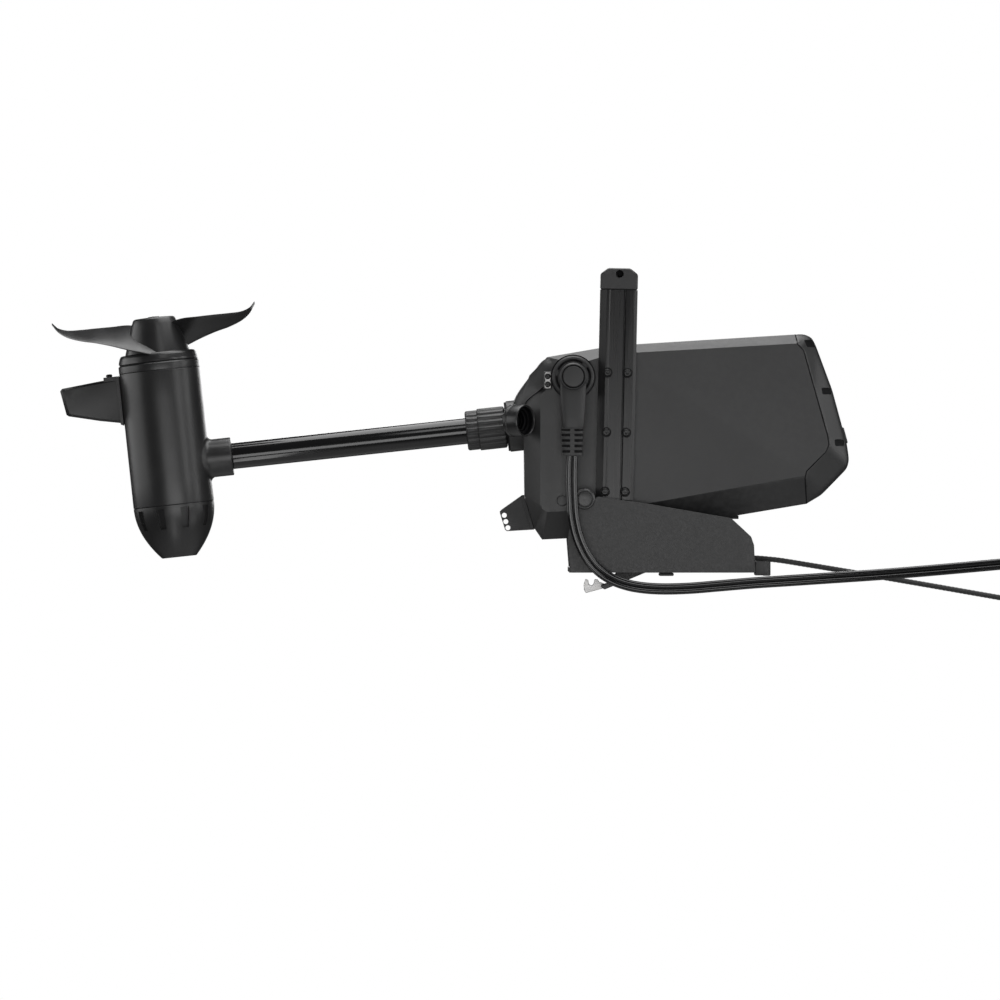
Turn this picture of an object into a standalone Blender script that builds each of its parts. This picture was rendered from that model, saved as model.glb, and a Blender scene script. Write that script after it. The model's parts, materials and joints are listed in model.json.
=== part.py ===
"""A bow-mount trolling motor in its stowed position: bolt-down base, tilting steering head, shaft, motor and
propeller, each sub-part its own object.

Frame: metres, +Z up. The origin is the middle of the base's underside. The shaft lies along -X, and the near
side of the object, with the arm and the power plug, faces -Y.
"""

import math

import bmesh
import bpy
from mathutils import Vector

MM = 0.001
GAP = 0.3 * MM

# ---- driving dimensions -------------------------------------------------------------------------------

SHAFT_TILT = math.radians(6.13)
MOTOR_CENTRE = (-540.4 * MM, 0, 120.0 * MM)
PIVOT = (-84.4 * MM, 0, 80.2 * MM)

SHAFT_RADIUS = 14.3 * MM
SHAFT_BORE = 11.9 * MM
SHAFT_START = 47 * MM
SHAFT_END = 560 * MM

MOTOR_RADIUS = 44.45 * MM
MOTOR_WALL = 3.2 * MM
MOTOR_LOW = -46.2 * MM
MOTOR_HIGH = 102 * MM
BELL_HIGH = 111 * MM
BOSS_RADIUS = 20.95 * MM
BOSS_REACH = 69.8 * MM
NOSE_LENGTH = 57.2 * MM
NOSE_FLAT_RADIUS = 19.2 * MM
NOSE_SLOTS = 10
PROP_SHAFT_RADIUS = 5 * MM

HEAD_HALF = 58 * MM
HEAD_EDGE_HALF = 40 * MM
HEAD_WALL = 3 * MM

PLATE_INSIDE = 71 * MM
PLATE_THICK = 4.5 * MM
BASE_THICK = 6 * MM
BASE_HALF_LENGTH = 101.5 * MM
LATCH_SLOT_END = -2.5 * MM
LATCH_SLOT_HALF = 17 * MM

ARM_FOOT = (-51.8 * MM, 0, 79.5 * MM)
ARM_LEAN = math.radians(1.24)
ARM_LENGTH = 229 * MM
ARM_THICK = 9 * MM
SCREW_HEAD_RADIUS = 4 * MM

STEERING_TUBE_RADIUS = 19 * MM
BEARING_SEAT = 24.8 * MM
GEAR_MODULE = 2.5 * MM
GEAR_TEETH = 30
PINION_TEETH = 12
GEAR_START = 424 * MM
GEAR_END = 436 * MM
WEB_START = 452 * MM
WEB_END = 458 * MM

COLLAR_START = 328.5 * MM
COLLAR_END = 372.5 * MM
COLLAR_RIBS = 20

LEVER_PIVOT = (-12 * MM, 0, 26 * MM)
CABLE_RADIUS = 5.5 * MM
ROPE_RADIUS = 3 * MM

ALONG_X = (0, math.pi / 2, 0)
ALONG_Y = (-math.pi / 2, 0, 0)
TOWARDS_NEAR = (math.pi / 2, 0, 0)


# ---- helpers ------------------------------------------------------------------------------------------


def clear_scene():
    for obj in list(bpy.data.objects):
        bpy.data.objects.remove(obj, do_unlink=True)


def material(name, grey, roughness, metallic=0.0, warm=0.0):
    made = bpy.data.materials.new(name)
    made.use_nodes = True
    shader = made.node_tree.nodes["Principled BSDF"]
    shader.inputs["Base Color"].default_value = (grey + warm, grey, grey - warm / 2, 1)
    shader.inputs["Roughness"].default_value = roughness
    shader.inputs["Metallic"].default_value = metallic
    return made


def mm(*pairs):
    """Points written in millimetres, as metres."""
    return [tuple(value * MM for value in pair) for pair in pairs]


def frame_at(name, at, turn=(0, 0, 0)):
    """An empty that stands on a joint's axis or at the foot of a sub-part."""
    empty = bpy.data.objects.new(name, None)
    empty.location = at
    empty.rotation_euler = turn
    bpy.context.scene.collection.objects.link(empty)
    bpy.context.view_layer.update()
    return empty


def add(name, bm, look, parent=None, at=(0, 0, 0), turn=(0, 0, 0), world=False):
    """A closed mesh as an object. With world set, its points are world coordinates whatever its parent."""
    bmesh.ops.recalc_face_normals(bm, faces=bm.faces)
    mesh = bpy.data.meshes.new(name)
    bm.to_mesh(mesh)
    bm.free()
    mesh.shade_smooth()
    mesh.set_sharp_from_angle(angle=math.radians(35))
    obj = bpy.data.objects.new(name, mesh)
    if look:
        mesh.materials.append(look)
    obj.location = at
    obj.rotation_euler = turn
    if parent:
        obj.parent = parent
        if world:
            obj.matrix_parent_inverse = parent.matrix_world.inverted()
    bpy.context.scene.collection.objects.link(obj)
    return obj


def combine(obj, other, operation):
    """A Boolean modifier on obj, with other as its hidden operand."""
    other.hide_render = True
    other.display_type = "WIRE"
    modifier = obj.modifiers.new(operation.lower(), "BOOLEAN")
    modifier.operation = operation
    modifier.solver = "EXACT"
    modifier.object = other
    return obj


def cut(obj, other):
    return combine(obj, other, "DIFFERENCE")


def join(obj, other):
    return combine(obj, other, "UNION")


def rings_mesh(rings, closed=False):
    """A mesh through rings of points, all of one length; a ring of one point is a tip. Ends are capped."""
    bm = bmesh.new()
    made = [[bm.verts.new(point) for point in ring] for ring in rings]
    pairs = list(zip(made, made[1:]))
    if closed:
        pairs.append((made[-1], made[0]))
    for low, high in pairs:
        count = max(len(low), len(high))
        if count == 1:
            continue
        for i in range(count):
            j = (i + 1) % count
            corners = [low[i % len(low)], low[j % len(low)], high[j % len(high)], high[i % len(high)]]
            bm.faces.new(list(dict.fromkeys(corners)))
    if not closed:
        for ring in (made[0], made[-1]):
            if len(ring) > 2:
                bm.faces.new(ring)
    return bm


def turned(profile, steps=32, phase=0.0, closed=True):
    """The profile's (radius, height) points turned about Z. A closed profile makes a ring."""
    rings = []
    for radius, height in profile:
        if radius < 1e-7:
            rings.append([(0, 0, height)])
            continue
        angles = [phase + 2 * math.pi * k / steps for k in range(steps)]
        rings.append([(radius * math.cos(a), radius * math.sin(a), height) for a in angles])
    return rings_mesh(rings, closed=closed)


def rod(radius, low, high, steps=24, chamfer=0.0):
    """A solid cylinder on Z, with chamfered ends if asked."""
    profile = [(radius, low + chamfer), (radius, high - chamfer)]
    if chamfer:
        profile = [(radius - chamfer, low)] + profile + [(radius - chamfer, high)]
    return turned(profile, steps, closed=False)


def tube(inner, outer, low, high, steps=32):
    return turned([(inner, low), (outer, low), (outer, high), (inner, high)], steps)


def prism(outline, low, high):
    """The (x, z) outline carried along Y."""
    rings = [[(x, y, z) for x, z in outline] for y in (low, high)]
    return rings_mesh(rings)


def block(x, y, z, bevel=0.0):
    """A box between the (low, high) limits of each axis, with its edges bevelled if asked."""
    bm = prism([(x[0], z[0]), (x[1], z[0]), (x[1], z[1]), (x[0], z[1])], y[0], y[1])
    if bevel:
        bmesh.ops.bevel(bm, geom=bm.edges[:], offset=bevel, segments=1, affect="EDGES")
    return bm


def arc(centre, radius, first, last, steps):
    """Points of an arc, in degrees, in the XZ plane."""
    angles = [math.radians(first + (last - first) * k / steps) for k in range(steps + 1)]
    return [(centre[0] + radius * math.cos(a), centre[1] + radius * math.sin(a)) for a in angles]


def inset(outline, distance):
    """The outline with every side moved inwards. It runs anticlockwise."""
    moved = []
    count = len(outline)
    for i in range(count):
        before, here, after = (Vector(outline[(i + k) % count]) for k in (-1, 0, 1))
        one = (here - before).normalized()
        two = (after - here).normalized()
        normal_one = Vector((-one.y, one.x))
        normal_two = Vector((-two.y, two.x))
        middle = (normal_one + normal_two).normalized()
        reach = distance / max(middle.dot(normal_one), 0.5)
        moved.append(tuple(here + middle * reach))
    return moved


def smooth_route(points, step):
    """Evenly spaced points on a Catmull-Rom curve through the points."""
    ends = [2 * Vector(points[0]) - Vector(points[1]), 2 * Vector(points[-1]) - Vector(points[-2])]
    held = [ends[0]] + [Vector(p) for p in points] + [ends[1]]
    fine = []
    for a, b, c, d in zip(held, held[1:], held[2:], held[3:]):
        for k in range(24):
            t = k / 24
            curved = (2 * a - 5 * b + 4 * c - d) * t**2 + (3 * b - a - 3 * c + d) * t**3
            fine.append(0.5 * (2 * b + (c - a) * t + curved))
    fine.append(held[-2])
    lengths = [0.0]
    for one, two in zip(fine, fine[1:]):
        lengths.append(lengths[-1] + (two - one).length)
    count = max(2, round(lengths[-1] / step))
    route = []
    index = 0
    for k in range(count + 1):
        target = lengths[-1] * k / count
        while index < len(fine) - 2 and lengths[index + 1] < target:
            index += 1
        share = (target - lengths[index]) / (lengths[index + 1] - lengths[index])
        route.append(fine[index].lerp(fine[index + 1], min(1.0, share)))
    return route


def cord(name, points, radius, step, look, resolution=2):
    curve = bpy.data.curves.new(name, "CURVE")
    curve.dimensions = "3D"
    curve.bevel_depth = radius
    curve.bevel_resolution = resolution
    curve.use_fill_caps = True
    route = smooth_route(points, step)
    spline = curve.splines.new("POLY")
    spline.points.add(len(route) - 1)
    for point, place in zip(spline.points, route):
        point.co = (*place, 1)
    curve.materials.append(look)
    obj = bpy.data.objects.new(name, curve)
    bpy.context.scene.collection.objects.link(obj)
    return obj


# ---- looks --------------------------------------------------------------------------------------------

clear_scene()
BLACK = material("black_plastic", 0.045, 0.5)
GLOSS = material("gloss_black", 0.02, 0.25)
PAINT = material("painted_black", 0.035, 0.4)
ANODISED = material("black_anodised", 0.05, 0.35, 0.8)
RUBBER = material("rubber", 0.02, 0.8)
STEEL = material("stainless", 0.6, 0.3, 1.0)
BRASS = material("brass", 0.5, 0.3, 1.0, 0.1)
COPPER = material("copper_windings", 0.4, 0.4, 1.0, 0.2)
BOARD = material("circuit_board", 0.1, 0.5)

stow_axis = frame_at("stow_axis", PIVOT)
lower_unit = frame_at("lower_unit_frame", MOTOR_CENTRE, (0, -SHAFT_TILT, 0))
arm_frame = frame_at("arm_frame", ARM_FOOT, (0, ARM_LEAN, 0))
lever_axis = frame_at("lever_axis", LEVER_PIVOT)


# ---- base ---------------------------------------------------------------------------------------------

PIVOT_PIN_RADIUS = 5.7 * MM
PIVOT_HOLE = 6.1 * MM
PLATE_OUTLINE = (
    mm((-101.8, 0), (101.8, 0), (100.4, 30.1), (97.1, 39.3), (75.4, 59.4), (-17.7, 75.5), (-71.7, 83.2))
    + arc((PIVOT[0], PIVOT[2]), 11 * MM, 50, 170, 6)
    + mm((-102.9, 35.6),)
)


def side_plate(name, side):
    """side is -1 for the near plate and +1 for the far one."""
    near, far = sorted((side * PLATE_INSIDE, side * (PLATE_INSIDE + PLATE_THICK)))
    plate = add(name, prism(PLATE_OUTLINE, near, far), BLACK)
    hole = add(name + "_hole", rod(PIVOT_HOLE, -90 * MM, 90 * MM, 24), None, at=PIVOT, turn=ALONG_Y)
    cut(plate, hole)
    reach = PLATE_INSIDE + PLATE_THICK
    turn = ALONG_Y if side > 0 else TOWARDS_NEAR
    inner = PIVOT_HOLE + GAP
    cap = mm((11.4, 0.3), (11.4, 2.4), (9.6, 3.6), (8.4, 3), (7.6, 4), (0, 4.4), (0, 2.4))
    cap += [(inner, 2.4 * MM), (inner, GAP)]
    cap = [(radius, height + reach) for radius, height in cap]
    add(name.replace("side_plate", "pivot_cap"), turned(cap, 28), PAINT, at=PIVOT, turn=turn)


def make_base():
    for name, side in (("side_plate_near", -1), ("side_plate_far", 1)):
        side_plate(name, side)
    inside = PLATE_INSIDE - GAP
    length = (-BASE_HALF_LENGTH, BASE_HALF_LENGTH)
    plate = add("base_plate", block(length, (-inside, inside), (0, BASE_THICK)), PAINT)
    slot = block((-120 * MM, LATCH_SLOT_END), (-LATCH_SLOT_HALF, LATCH_SLOT_HALF), (-10 * MM, 20 * MM))
    cut(plate, add("latch_slot", slot, None))
    pin_half = PLATE_INSIDE + PLATE_THICK + 1.8 * MM
    add("pivot_pin", rod(PIVOT_PIN_RADIUS, -pin_half, pin_half, 24, 0.6 * MM), STEEL, at=PIVOT, turn=ALONG_Y)
    add("mount_key", block(*mm((-3, 13), (-64, -36), (-3.7, -0.3)), bevel=0.8 * MM), RUBBER)

    low = BASE_THICK + GAP
    bracket = mm((71, 0), (77, 0), (77, 50), (84, 55), (84, 58), (64, 58), (64, 55), (71, 50))
    bracket = [(x, max(z, low)) for x, z in bracket]
    add("rest_bracket", prism(bracket, -22 * MM, 22 * MM), PAINT)
    bumper = mm((64, 58.3), (85.2, 58.3), (85.2, 62.2), (64, 58.75))
    add("rest_bumper", prism(bumper, -20 * MM, 20 * MM), RUBBER)

    wall = block((93 * MM, 98 * MM), (-inside, inside), (low, 11 * MM))
    add("rear_wall", wall, PAINT)
    guide = add("rope_guide", block(*mm((102.2, 114), (-42, -16), (-3.4, 12.6)), bevel=1 * MM), BLACK)
    post = rod(4.6 * MM, -3.8 * MM, 12.9 * MM, 16, 1 * MM)
    join(guide, add("guide_post", post, None, at=mm((115, -37, 0))[0]))

    half = PLATE_INSIDE - GAP
    add("lever_pin", rod(3.6 * MM, -half, half, 16), STEEL, at=LEVER_PIVOT, turn=ALONG_Y)
    spring = tube(8.4 * MM, 10.4 * MM, 14 * MM, 30 * MM, 16)
    add("lever_spring", spring, STEEL, at=LEVER_PIVOT, turn=ALONG_Y)


def make_lever():
    """The release lever swings about the lever pin; its fork catches the trim plate's bolt from below."""
    outline = (
        arc((LEVER_PIVOT[0], LEVER_PIVOT[2]), 8 * MM, 20, 150, 5)
        + mm((-40, 8), (-50, -2), (-56, -11), (-65.7, -14.2), (-65.2, -17), (-61.6, -19.2))
        + mm((-10, 2.2), (-7, 9), (-0.6, 12), (-0.6, 20))
    )
    lever = add("release_lever", prism(outline, -12 * MM, 12 * MM), BLACK, lever_axis, world=True)
    hole = add("lever_hole", rod(4 * MM, -20 * MM, 20 * MM, 16), None, lever_axis, LEVER_PIVOT, ALONG_Y, True)
    cut(lever, hole)
    slot = block(*mm((-72, -56.4), (2.4, 7.6), (-24, -4)))
    cut(lever, add("fork_slot", slot, None, lever_axis, world=True))
    fork = mm(
        (-60, -17.2), (-60, -13.6), (-67.7, -10.5), (-69, -8.2), (-72.6, -7.9), (-73.6, -13), (-75.6, -15),
        (-78.6, -13.6), (-79.6, -8.6), (-82.6, -7.7), (-84.5, -14), (-84, -20.5), (-82, -23.2),
    )
    add("lock_hook", prism(fork, 2.8 * MM, 7.2 * MM), STEEL, lever_axis, world=True)


# ---- head ---------------------------------------------------------------------------------------------

# The silhouette, at the housings' edges, and the flat side face that the chamfers run up to. Points match.
HEAD_EDGE = mm(
    (-130.4, 35.9), (-52, 39.6), (158.8, 75), (175, 84.3), (203.6, 113.6), (205.9, 122.9), (203.6, 139.8),
    (187.3, 200), (169.6, 247.8), (165, 257.2), (156.5, 261), (-52, 248.2), (-125, 235.6), (-144.5, 215.5),
    (-151.5, 196), (-149.8, 84.7), (-138.5, 47.7),
)
HEAD_FACE = mm(
    (-125, 66.2), (-52, 69), (156.5, 105.9), (158.1, 110.6), (179.6, 132.1), (182.7, 139.8), (181.2, 149.1),
    (167.8, 197), (155, 242.4), (152.6, 246.5), (147.2, 250.1), (-52, 238.8), (-92, 228), (-121, 204.5),
    (-132.6, 193.5), (-132.6, 75.2), (-130.6, 69.4),
)
CAP_SEAM = mm(
    (146.4, 300), (146.4, 260.5), (148.5, 249.4), (155, 242.4), (181.2, 149.1), (182.7, 139.8),
    (179.6, 132.1), (158.1, 110.6), (156.5, 102.7), (158.8, 76.6), (158.8, 0),
)


def head_blank(shrink=0.0):
    """The whole head as one solid, or its hollow when shrunk by the wall."""
    edge = inset(HEAD_EDGE, shrink)
    face = inset(HEAD_FACE, shrink)
    half = HEAD_HALF - shrink
    edge_half = HEAD_EDGE_HALF - shrink * 0.7
    rings = [
        [(x, y, z) for x, z in outline]
        for outline, y in ((face, -half), (edge, -edge_half), (edge, edge_half), (face, half))
    ]
    bm = rings_mesh(rings)
    sides = [f for f in bm.faces if len(f.verts) == 4]
    bmesh.ops.triangulate(bm, faces=sides)
    return bm


def head_shell(name, region):
    """The part of the head's shell inside the region, an (x, z) outline."""
    shell = add(name, head_blank(), BLACK, stow_axis, world=True)
    keep = add(name + "_region", prism(region, -80 * MM, 80 * MM), None, stow_axis, world=True)
    combine(shell, keep, "INTERSECT")
    hollow = add(name + "_hollow", head_blank(HEAD_WALL), None, stow_axis, world=True)
    cut(shell, hollow)
    return shell


def slab_across_shaft(low, high, half_height, half_width):
    """A slab square to the shaft, between two stations along it."""
    return block((low, high), (-half_width, half_width), (-half_height[0], half_height[1]))


SOCKET_AT = (-96.8 * MM, 213.4 * MM)
STEERING_MOTOR_RADIUS = 18 * MM
CENTRE_DISTANCE = GEAR_MODULE * (GEAR_TEETH + PINION_TEETH) / 2
PORT_STUB_AT = mm((-160.2, 163.6))[0]


def make_steering_housing():
    region = mm((-175, 20), (-52.15, 20), (-52.15, 260), (-175, 260))
    housing = head_shell("steering_housing", region)
    web = add("web", head_blank(HEAD_WALL / 2), None, stow_axis, world=True)
    slab = slab_across_shaft(WEB_START, WEB_END, (140 * MM, 110 * MM), 70 * MM)
    combine(web, add("web_slab", slab, None, lower_unit), "INTERSECT")
    join(housing, web)
    neck = rod(28 * MM, 374.2 * MM, 402 * MM, 40, 1.2 * MM)
    join(housing, add("neck", neck, None, lower_unit, turn=ALONG_X))
    x, z = PORT_STUB_AT
    port_boss = rod(8.3 * MM, 12 * MM, 33 * MM, 24)
    join(housing, add("port_boss", port_boss, None, stow_axis, (x, 0, z), TOWARDS_NEAR, True))
    keeper_boss = block(*mm((-129, -120), (-59.4, -44), (200, 219.4)), bevel=0.6 * MM)
    join(housing, add("keeper_boss", keeper_boss, None, stow_axis, world=True))
    for side in (-1, 1):
        turn = ALONG_Y if side > 0 else TOWARDS_NEAR
        boss = rod(11.6 * MM, HEAD_HALF - 6 * MM, PLATE_INSIDE - 0.8 * MM, 28)
        join(housing, add(f"pivot_boss_{side}", boss, None, stow_axis, PIVOT, turn, True))

    cut(housing, add("neck_bore", rod(BEARING_SEAT, 365 * MM, 410 * MM, 32), None, lower_unit, turn=ALONG_X))
    cut(housing, add("web_bore", rod(BEARING_SEAT, 446 * MM, 470 * MM, 32), None, lower_unit, turn=ALONG_X))
    motor_hole = rod(STEERING_MOTOR_RADIUS + GAP, 445 * MM, 466 * MM, 28)
    below = (0, 0, -CENTRE_DISTANCE)
    cut(housing, add("motor_hole", motor_hole, None, lower_unit, below, ALONG_X))
    cross = rod(10 * MM, -90 * MM, 90 * MM, 28)
    cut(housing, add("pivot_bore", cross, None, stow_axis, PIVOT, ALONG_Y, True))
    x, z = SOCKET_AT
    socket_hole = rod(14 * MM, 50 * MM, 70 * MM, 24)
    cut(housing, add("socket_hole", socket_hole, None, stow_axis, (x, 0, z), TOWARDS_NEAR, True))


def make_electronics_housing():
    seam = [(x - 0.15 * MM, z) for x, z in reversed(CAP_SEAM)]
    region = mm((-51.85, 300), (-51.85, 0)) + seam
    head_shell("electronics_housing", region)


BUTTON_AT = mm((200.85, 0, 149.85))[0]
BUTTON_LEAN = math.atan2(5.5, 20.1)
BUTTON_HALF = (9.3 * MM, 12 * MM)
BUTTON_PROUD = 2.6 * MM


def make_end_cap():
    seam = [(x + 0.15 * MM, z) for x, z in CAP_SEAM]
    region = seam + mm((260, 0), (260, 300))
    cap = head_shell("end_cap", region)
    frame = frame_at("button_frame", BUTTON_AT, (0, -BUTTON_LEAN, 0))
    long_half, wide_half = BUTTON_HALF
    clear = 0.4 * MM
    window = block(
        (-12 * MM, 8 * MM), (-wide_half - clear, wide_half + clear), (-long_half - clear, long_half + clear)
    )
    cut(cap, add("button_window", window, None, frame))
    button = block((-7 * MM, BUTTON_PROUD), (-wide_half, wide_half), (-long_half, long_half), bevel=1.2 * MM)
    add("power_button", button, RUBBER, frame)


def make_arm():
    """The aluminium bar on the near side, its end cap and its six screws, in the bar's own leaning frame."""
    back = -(HEAD_HALF + GAP)
    face = back - ARM_THICK
    section = [
        (-20.5 * MM, back), (20.5 * MM, back), (20.5 * MM, face + 3.2 * MM), (17.2 * MM, face),
        (8.2 * MM, face), (7.5 * MM, face + 0.9 * MM), (6.8 * MM, face),
        (5.6 * MM, face + 0.5 * MM), (-9 * MM, face + 0.5 * MM), (-10.2 * MM, face),
        (-13 * MM, face), (-20.5 * MM, face + 5 * MM),
    ]
    rings = [[(x, y, z) for x, y in section] for z in (0, ARM_LENGTH)]
    arm = add("side_arm", rings_mesh(rings), ANODISED, arm_frame)

    cap_outline = mm((-20.5, 0), (20.5, 0), (20.5, 16.8), (12.2, 23.3), (-12.2, 23.3), (-20.5, 16.8))
    low = ARM_LENGTH + GAP
    cap_outline = [(x, z + low) for x, z in cap_outline]
    cap = add("arm_end_cap", prism(cap_outline, face - 0.4 * MM, back), BLACK, arm_frame)
    bevel = cap.modifiers.new("edges", "BEVEL")
    bevel.width = 1.2 * MM
    bevel.segments = 1
    hole = rod(4.2 * MM, -back + 2 * MM, 90 * MM, 16)
    top_hole = add("arm_cap_hole", hole, None, arm_frame, (0.5 * MM, 0, low + 17 * MM), TOWARDS_NEAR)
    cut(cap, top_hole)

    number = 0
    for height in (8.6 * MM, 73.4 * MM, 138.4 * MM):
        for across in (-10.6 * MM, 11.2 * MM):
            number += 1
            at = (across, 0, height)
            hole = rod(2.9 * MM, 50 * MM, 80 * MM, 10)
            cut(arm, add(f"arm_hole_{number}", hole, None, arm_frame, at, TOWARDS_NEAR))
            seat = -face + GAP
            head = SCREW_HEAD_RADIUS
            screw = [
                (2.5 * MM, -back + 0.5 * MM), (2.5 * MM, seat), (head, seat), (head, seat + 1.2 * MM),
                (head * 0.7, seat + 2.4 * MM),
            ]
            bm = turned(screw, 10, closed=False)
            add(f"arm_screw_{number}", bm, STEEL, arm_frame, at, TOWARDS_NEAR)


def make_trim_plate():
    """Three holes on an arc about the pivot choose the working angle. A foot joins it to the housing."""
    outline = mm(
        (-150.3, 84.3), (-152, 84.9), (-175, 68.6), (-176.9, 66.6), (-176.6, 64.4), (-171, 46.4),
        (-169, 44.9), (-139.2, 46.6),
    )
    plate = add("trim_plate", prism(outline, -2 * MM, 2 * MM), PAINT, stow_axis, world=True)
    foot = prism(mm((-150.3, 84), (-153, 83), (-142.6, 48.4), (-139.3, 47.6)), -14 * MM, 14 * MM)
    join(plate, add("trim_foot", foot, None, stow_axis, world=True))
    first = Vector((-171.9 * MM - PIVOT[0], 62.4 * MM - PIVOT[2]))
    for number in range(3):
        angle = math.radians(4.6 * number)
        x = first.x * math.cos(angle) - first.y * math.sin(angle)
        z = first.x * math.sin(angle) + first.y * math.cos(angle)
        hole = rod(2.75 * MM, -10 * MM, 10 * MM, 16)
        at = (PIVOT[0] + x, 0, PIVOT[2] + z)
        cut(plate, add(f"trim_hole_{number + 1}", hole, None, stow_axis, at, ALONG_Y, True))


STRAIN_TOP = 157 * MM
STRAIN_BOTTOM = 127.3 * MM
CABLE_DEPTH = 86 * MM
RIB_ROWS = 5


def make_power_plug():
    x, z = SOCKET_AT
    centre = (x, 0, z)
    ring = [(9 * MM, 50 * MM), (13.6 * MM, 50 * MM), (13.6 * MM, 58.4 * MM), (21 * MM, 58.4 * MM)]
    ring += [(21 * MM, 64.6 * MM), (9 * MM, 64.6 * MM)]
    add("power_socket", turned(ring, 32), BLACK, stow_axis, centre, TOWARDS_NEAR, True)

    flange = [
        (23 * MM, 65 * MM), (23 * MM, 69.4 * MM), (21.4 * MM, 70.8 * MM), (18.4 * MM, 70.8 * MM),
        (17.4 * MM, 69.8 * MM), (15 * MM, 69.8 * MM), (14.3 * MM, 91 * MM), (13.2 * MM, 92.6 * MM),
        (12.2 * MM, 92 * MM), (11.6 * MM, 93.4 * MM),
    ]
    plug = add("power_plug", turned(flange, 32, closed=False), BLACK, stow_axis, centre, TOWARDS_NEAR, True)
    body_rings = []
    for height, half_width, half_depth in ((213, 14.2, 10.5), (200, 14.2, 10), (157, 12.85, 8.6)):
        w = half_width * MM
        d = half_depth * MM
        depth = -(CABLE_DEPTH - 4 * MM) if height == 213 else -CABLE_DEPTH
        eight = [
            (w, -0.55 * d), (w, 0.55 * d), (0.72 * w, d), (-0.72 * w, d), (-w, 0.55 * d), (-w, -0.55 * d),
            (-0.72 * w, -d), (0.72 * w, -d),
        ]
        body_rings.append([(x + px, depth + py, height * MM + GAP) for px, py in eight])
    join(plug, add("plug_body", rings_mesh(body_rings), None, stow_axis, world=True))

    rib_pitch = (STRAIN_TOP - STRAIN_BOTTOM) / RIB_ROWS
    right = []
    for row in range(RIB_ROWS):
        top = STRAIN_TOP - row * rib_pitch
        half = (12.6 - 0.35 * row) * MM
        right += [(7.2 * MM, top), (half, top - 0.3 * rib_pitch)] if row else [(half, top)]
        right += [(half, top - 0.95 * rib_pitch), (7.2 * MM, top - rib_pitch)]
    left = [(-px, pz) for px, pz in reversed(right)]
    shift = SOCKET_AT[0] - 1.2 * MM
    outline = [(px + shift, pz) for px, pz in right + left]
    relief = prism(outline, -CABLE_DEPTH - 7 * MM, -CABLE_DEPTH + 7 * MM)
    add("strain_relief", relief, RUBBER, stow_axis, world=True)

    keeper = block(*mm((-128.2, -120.8), (-61.2, -59.7), (201.2, 218.2)), bevel=0.4 * MM)
    plate = add("plug_keeper", keeper, STEEL, stow_axis, world=True)
    for number, height in enumerate((205.2, 214.2)):
        at = (-124.5 * MM, 0, height * MM)
        hole = rod(1.7 * MM, 50 * MM, 70 * MM, 12)
        cut(plate, add(f"keeper_hole_{number}", hole, None, stow_axis, at, TOWARDS_NEAR, True))
        screw = mm((1.3, 60), (1.3, 61.5), (2.5, 61.5), (2.5, 62.3), (1.6, 63.1))
        name = f"keeper_screw_{number + 1}"
        add(name, turned(screw, 12, closed=False), PAINT, stow_axis, at, TOWARDS_NEAR, True)


def make_cable_port():
    """A short open barrel that turns the sounder cable out of the neck, towards the near side."""
    x, z = PORT_STUB_AT
    stub = rod(8 * MM, 33.4 * MM, 60 * MM, 24)
    port = add("cable_port", stub, BLACK, stow_axis, (x, 0, z), TOWARDS_NEAR, True)
    facing = math.radians(53.6)
    mouth = Vector(mm((-148.4, -69, 165.8))[0])
    outward = Vector((math.sin(facing), -math.cos(facing), 0))
    turn = outward.to_track_quat("Z", "Y").to_euler()
    barrel = mm((17.6, -25), (17.6, -1), (16.6, 0), (14.4, 0), (13.8, -9), (10, -10), (9.4, -16), (0, -16))
    body = turned([(0, -25 * MM)] + barrel, 28, closed=False)
    join(port, add("port_barrel", body, None, stow_axis, mouth, turn, True))
    bore = rod(13.8 * MM, -9 * MM, 4 * MM, 28)
    cut(port, add("port_bore", bore, None, stow_axis, mouth, turn, True))


def make_steering():
    """The tube that turns with the shaft, its gear, its bearings, and the motor and pinion that drive it."""
    tube_mesh = tube(14.75 * MM, STEERING_TUBE_RADIUS, 346 * MM, 470 * MM)
    add("steering_tube", tube_mesh, ANODISED, lower_unit, turn=ALONG_X)
    for name, start in (("steering_bearing_lower", 376 * MM), ("steering_bearing_upper", 449 * MM)):
        ring = tube(STEERING_TUBE_RADIUS + GAP, BEARING_SEAT - GAP, start, start + 12 * MM, 32)
        add(name, ring, STEEL, lower_unit, turn=ALONG_X)
    gear = gear_mesh(GEAR_TEETH, GEAR_START, GEAR_END, STEERING_TUBE_RADIUS + GAP, 0.0)
    add("steering_gear", gear, BRASS, lower_unit, turn=ALONG_X)
    half_tooth = math.pi / PINION_TEETH
    below = (0, 0, -CENTRE_DISTANCE)
    pinion = gear_mesh(PINION_TEETH, GEAR_START, GEAR_END, 0.0, half_tooth)
    pinion_obj = add("steering_pinion", pinion, STEEL, lower_unit, below, ALONG_X)
    stub = rod(3 * MM, GEAR_END - 2 * MM, 452 * MM, 16)
    join(pinion_obj, add("pinion_stub", stub, None, lower_unit, below, ALONG_X))
    motor = turned(
        [(3.5 * MM, 440 * MM), (17 * MM, 440 * MM), (18 * MM, 441 * MM), (18 * MM, 503 * MM), (0, 503 * MM)]
        + [(0, 454 * MM), (3.5 * MM, 454 * MM)],
        28,
    )
    add("steering_motor", motor, PAINT, lower_unit, below, ALONG_X)
    board = block(*mm((-22, 122), (43.6, 45.2), (118, 222)))
    add("circuit_board", board, BOARD, stow_axis, world=True)
    sleeve_half = PLATE_INSIDE - GAP
    sleeve = tube(PIVOT_PIN_RADIUS + GAP, 9.6 * MM, -sleeve_half, sleeve_half, 24)
    add("pivot_sleeve", sleeve, BRASS, stow_axis, PIVOT, ALONG_Y, True)


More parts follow.
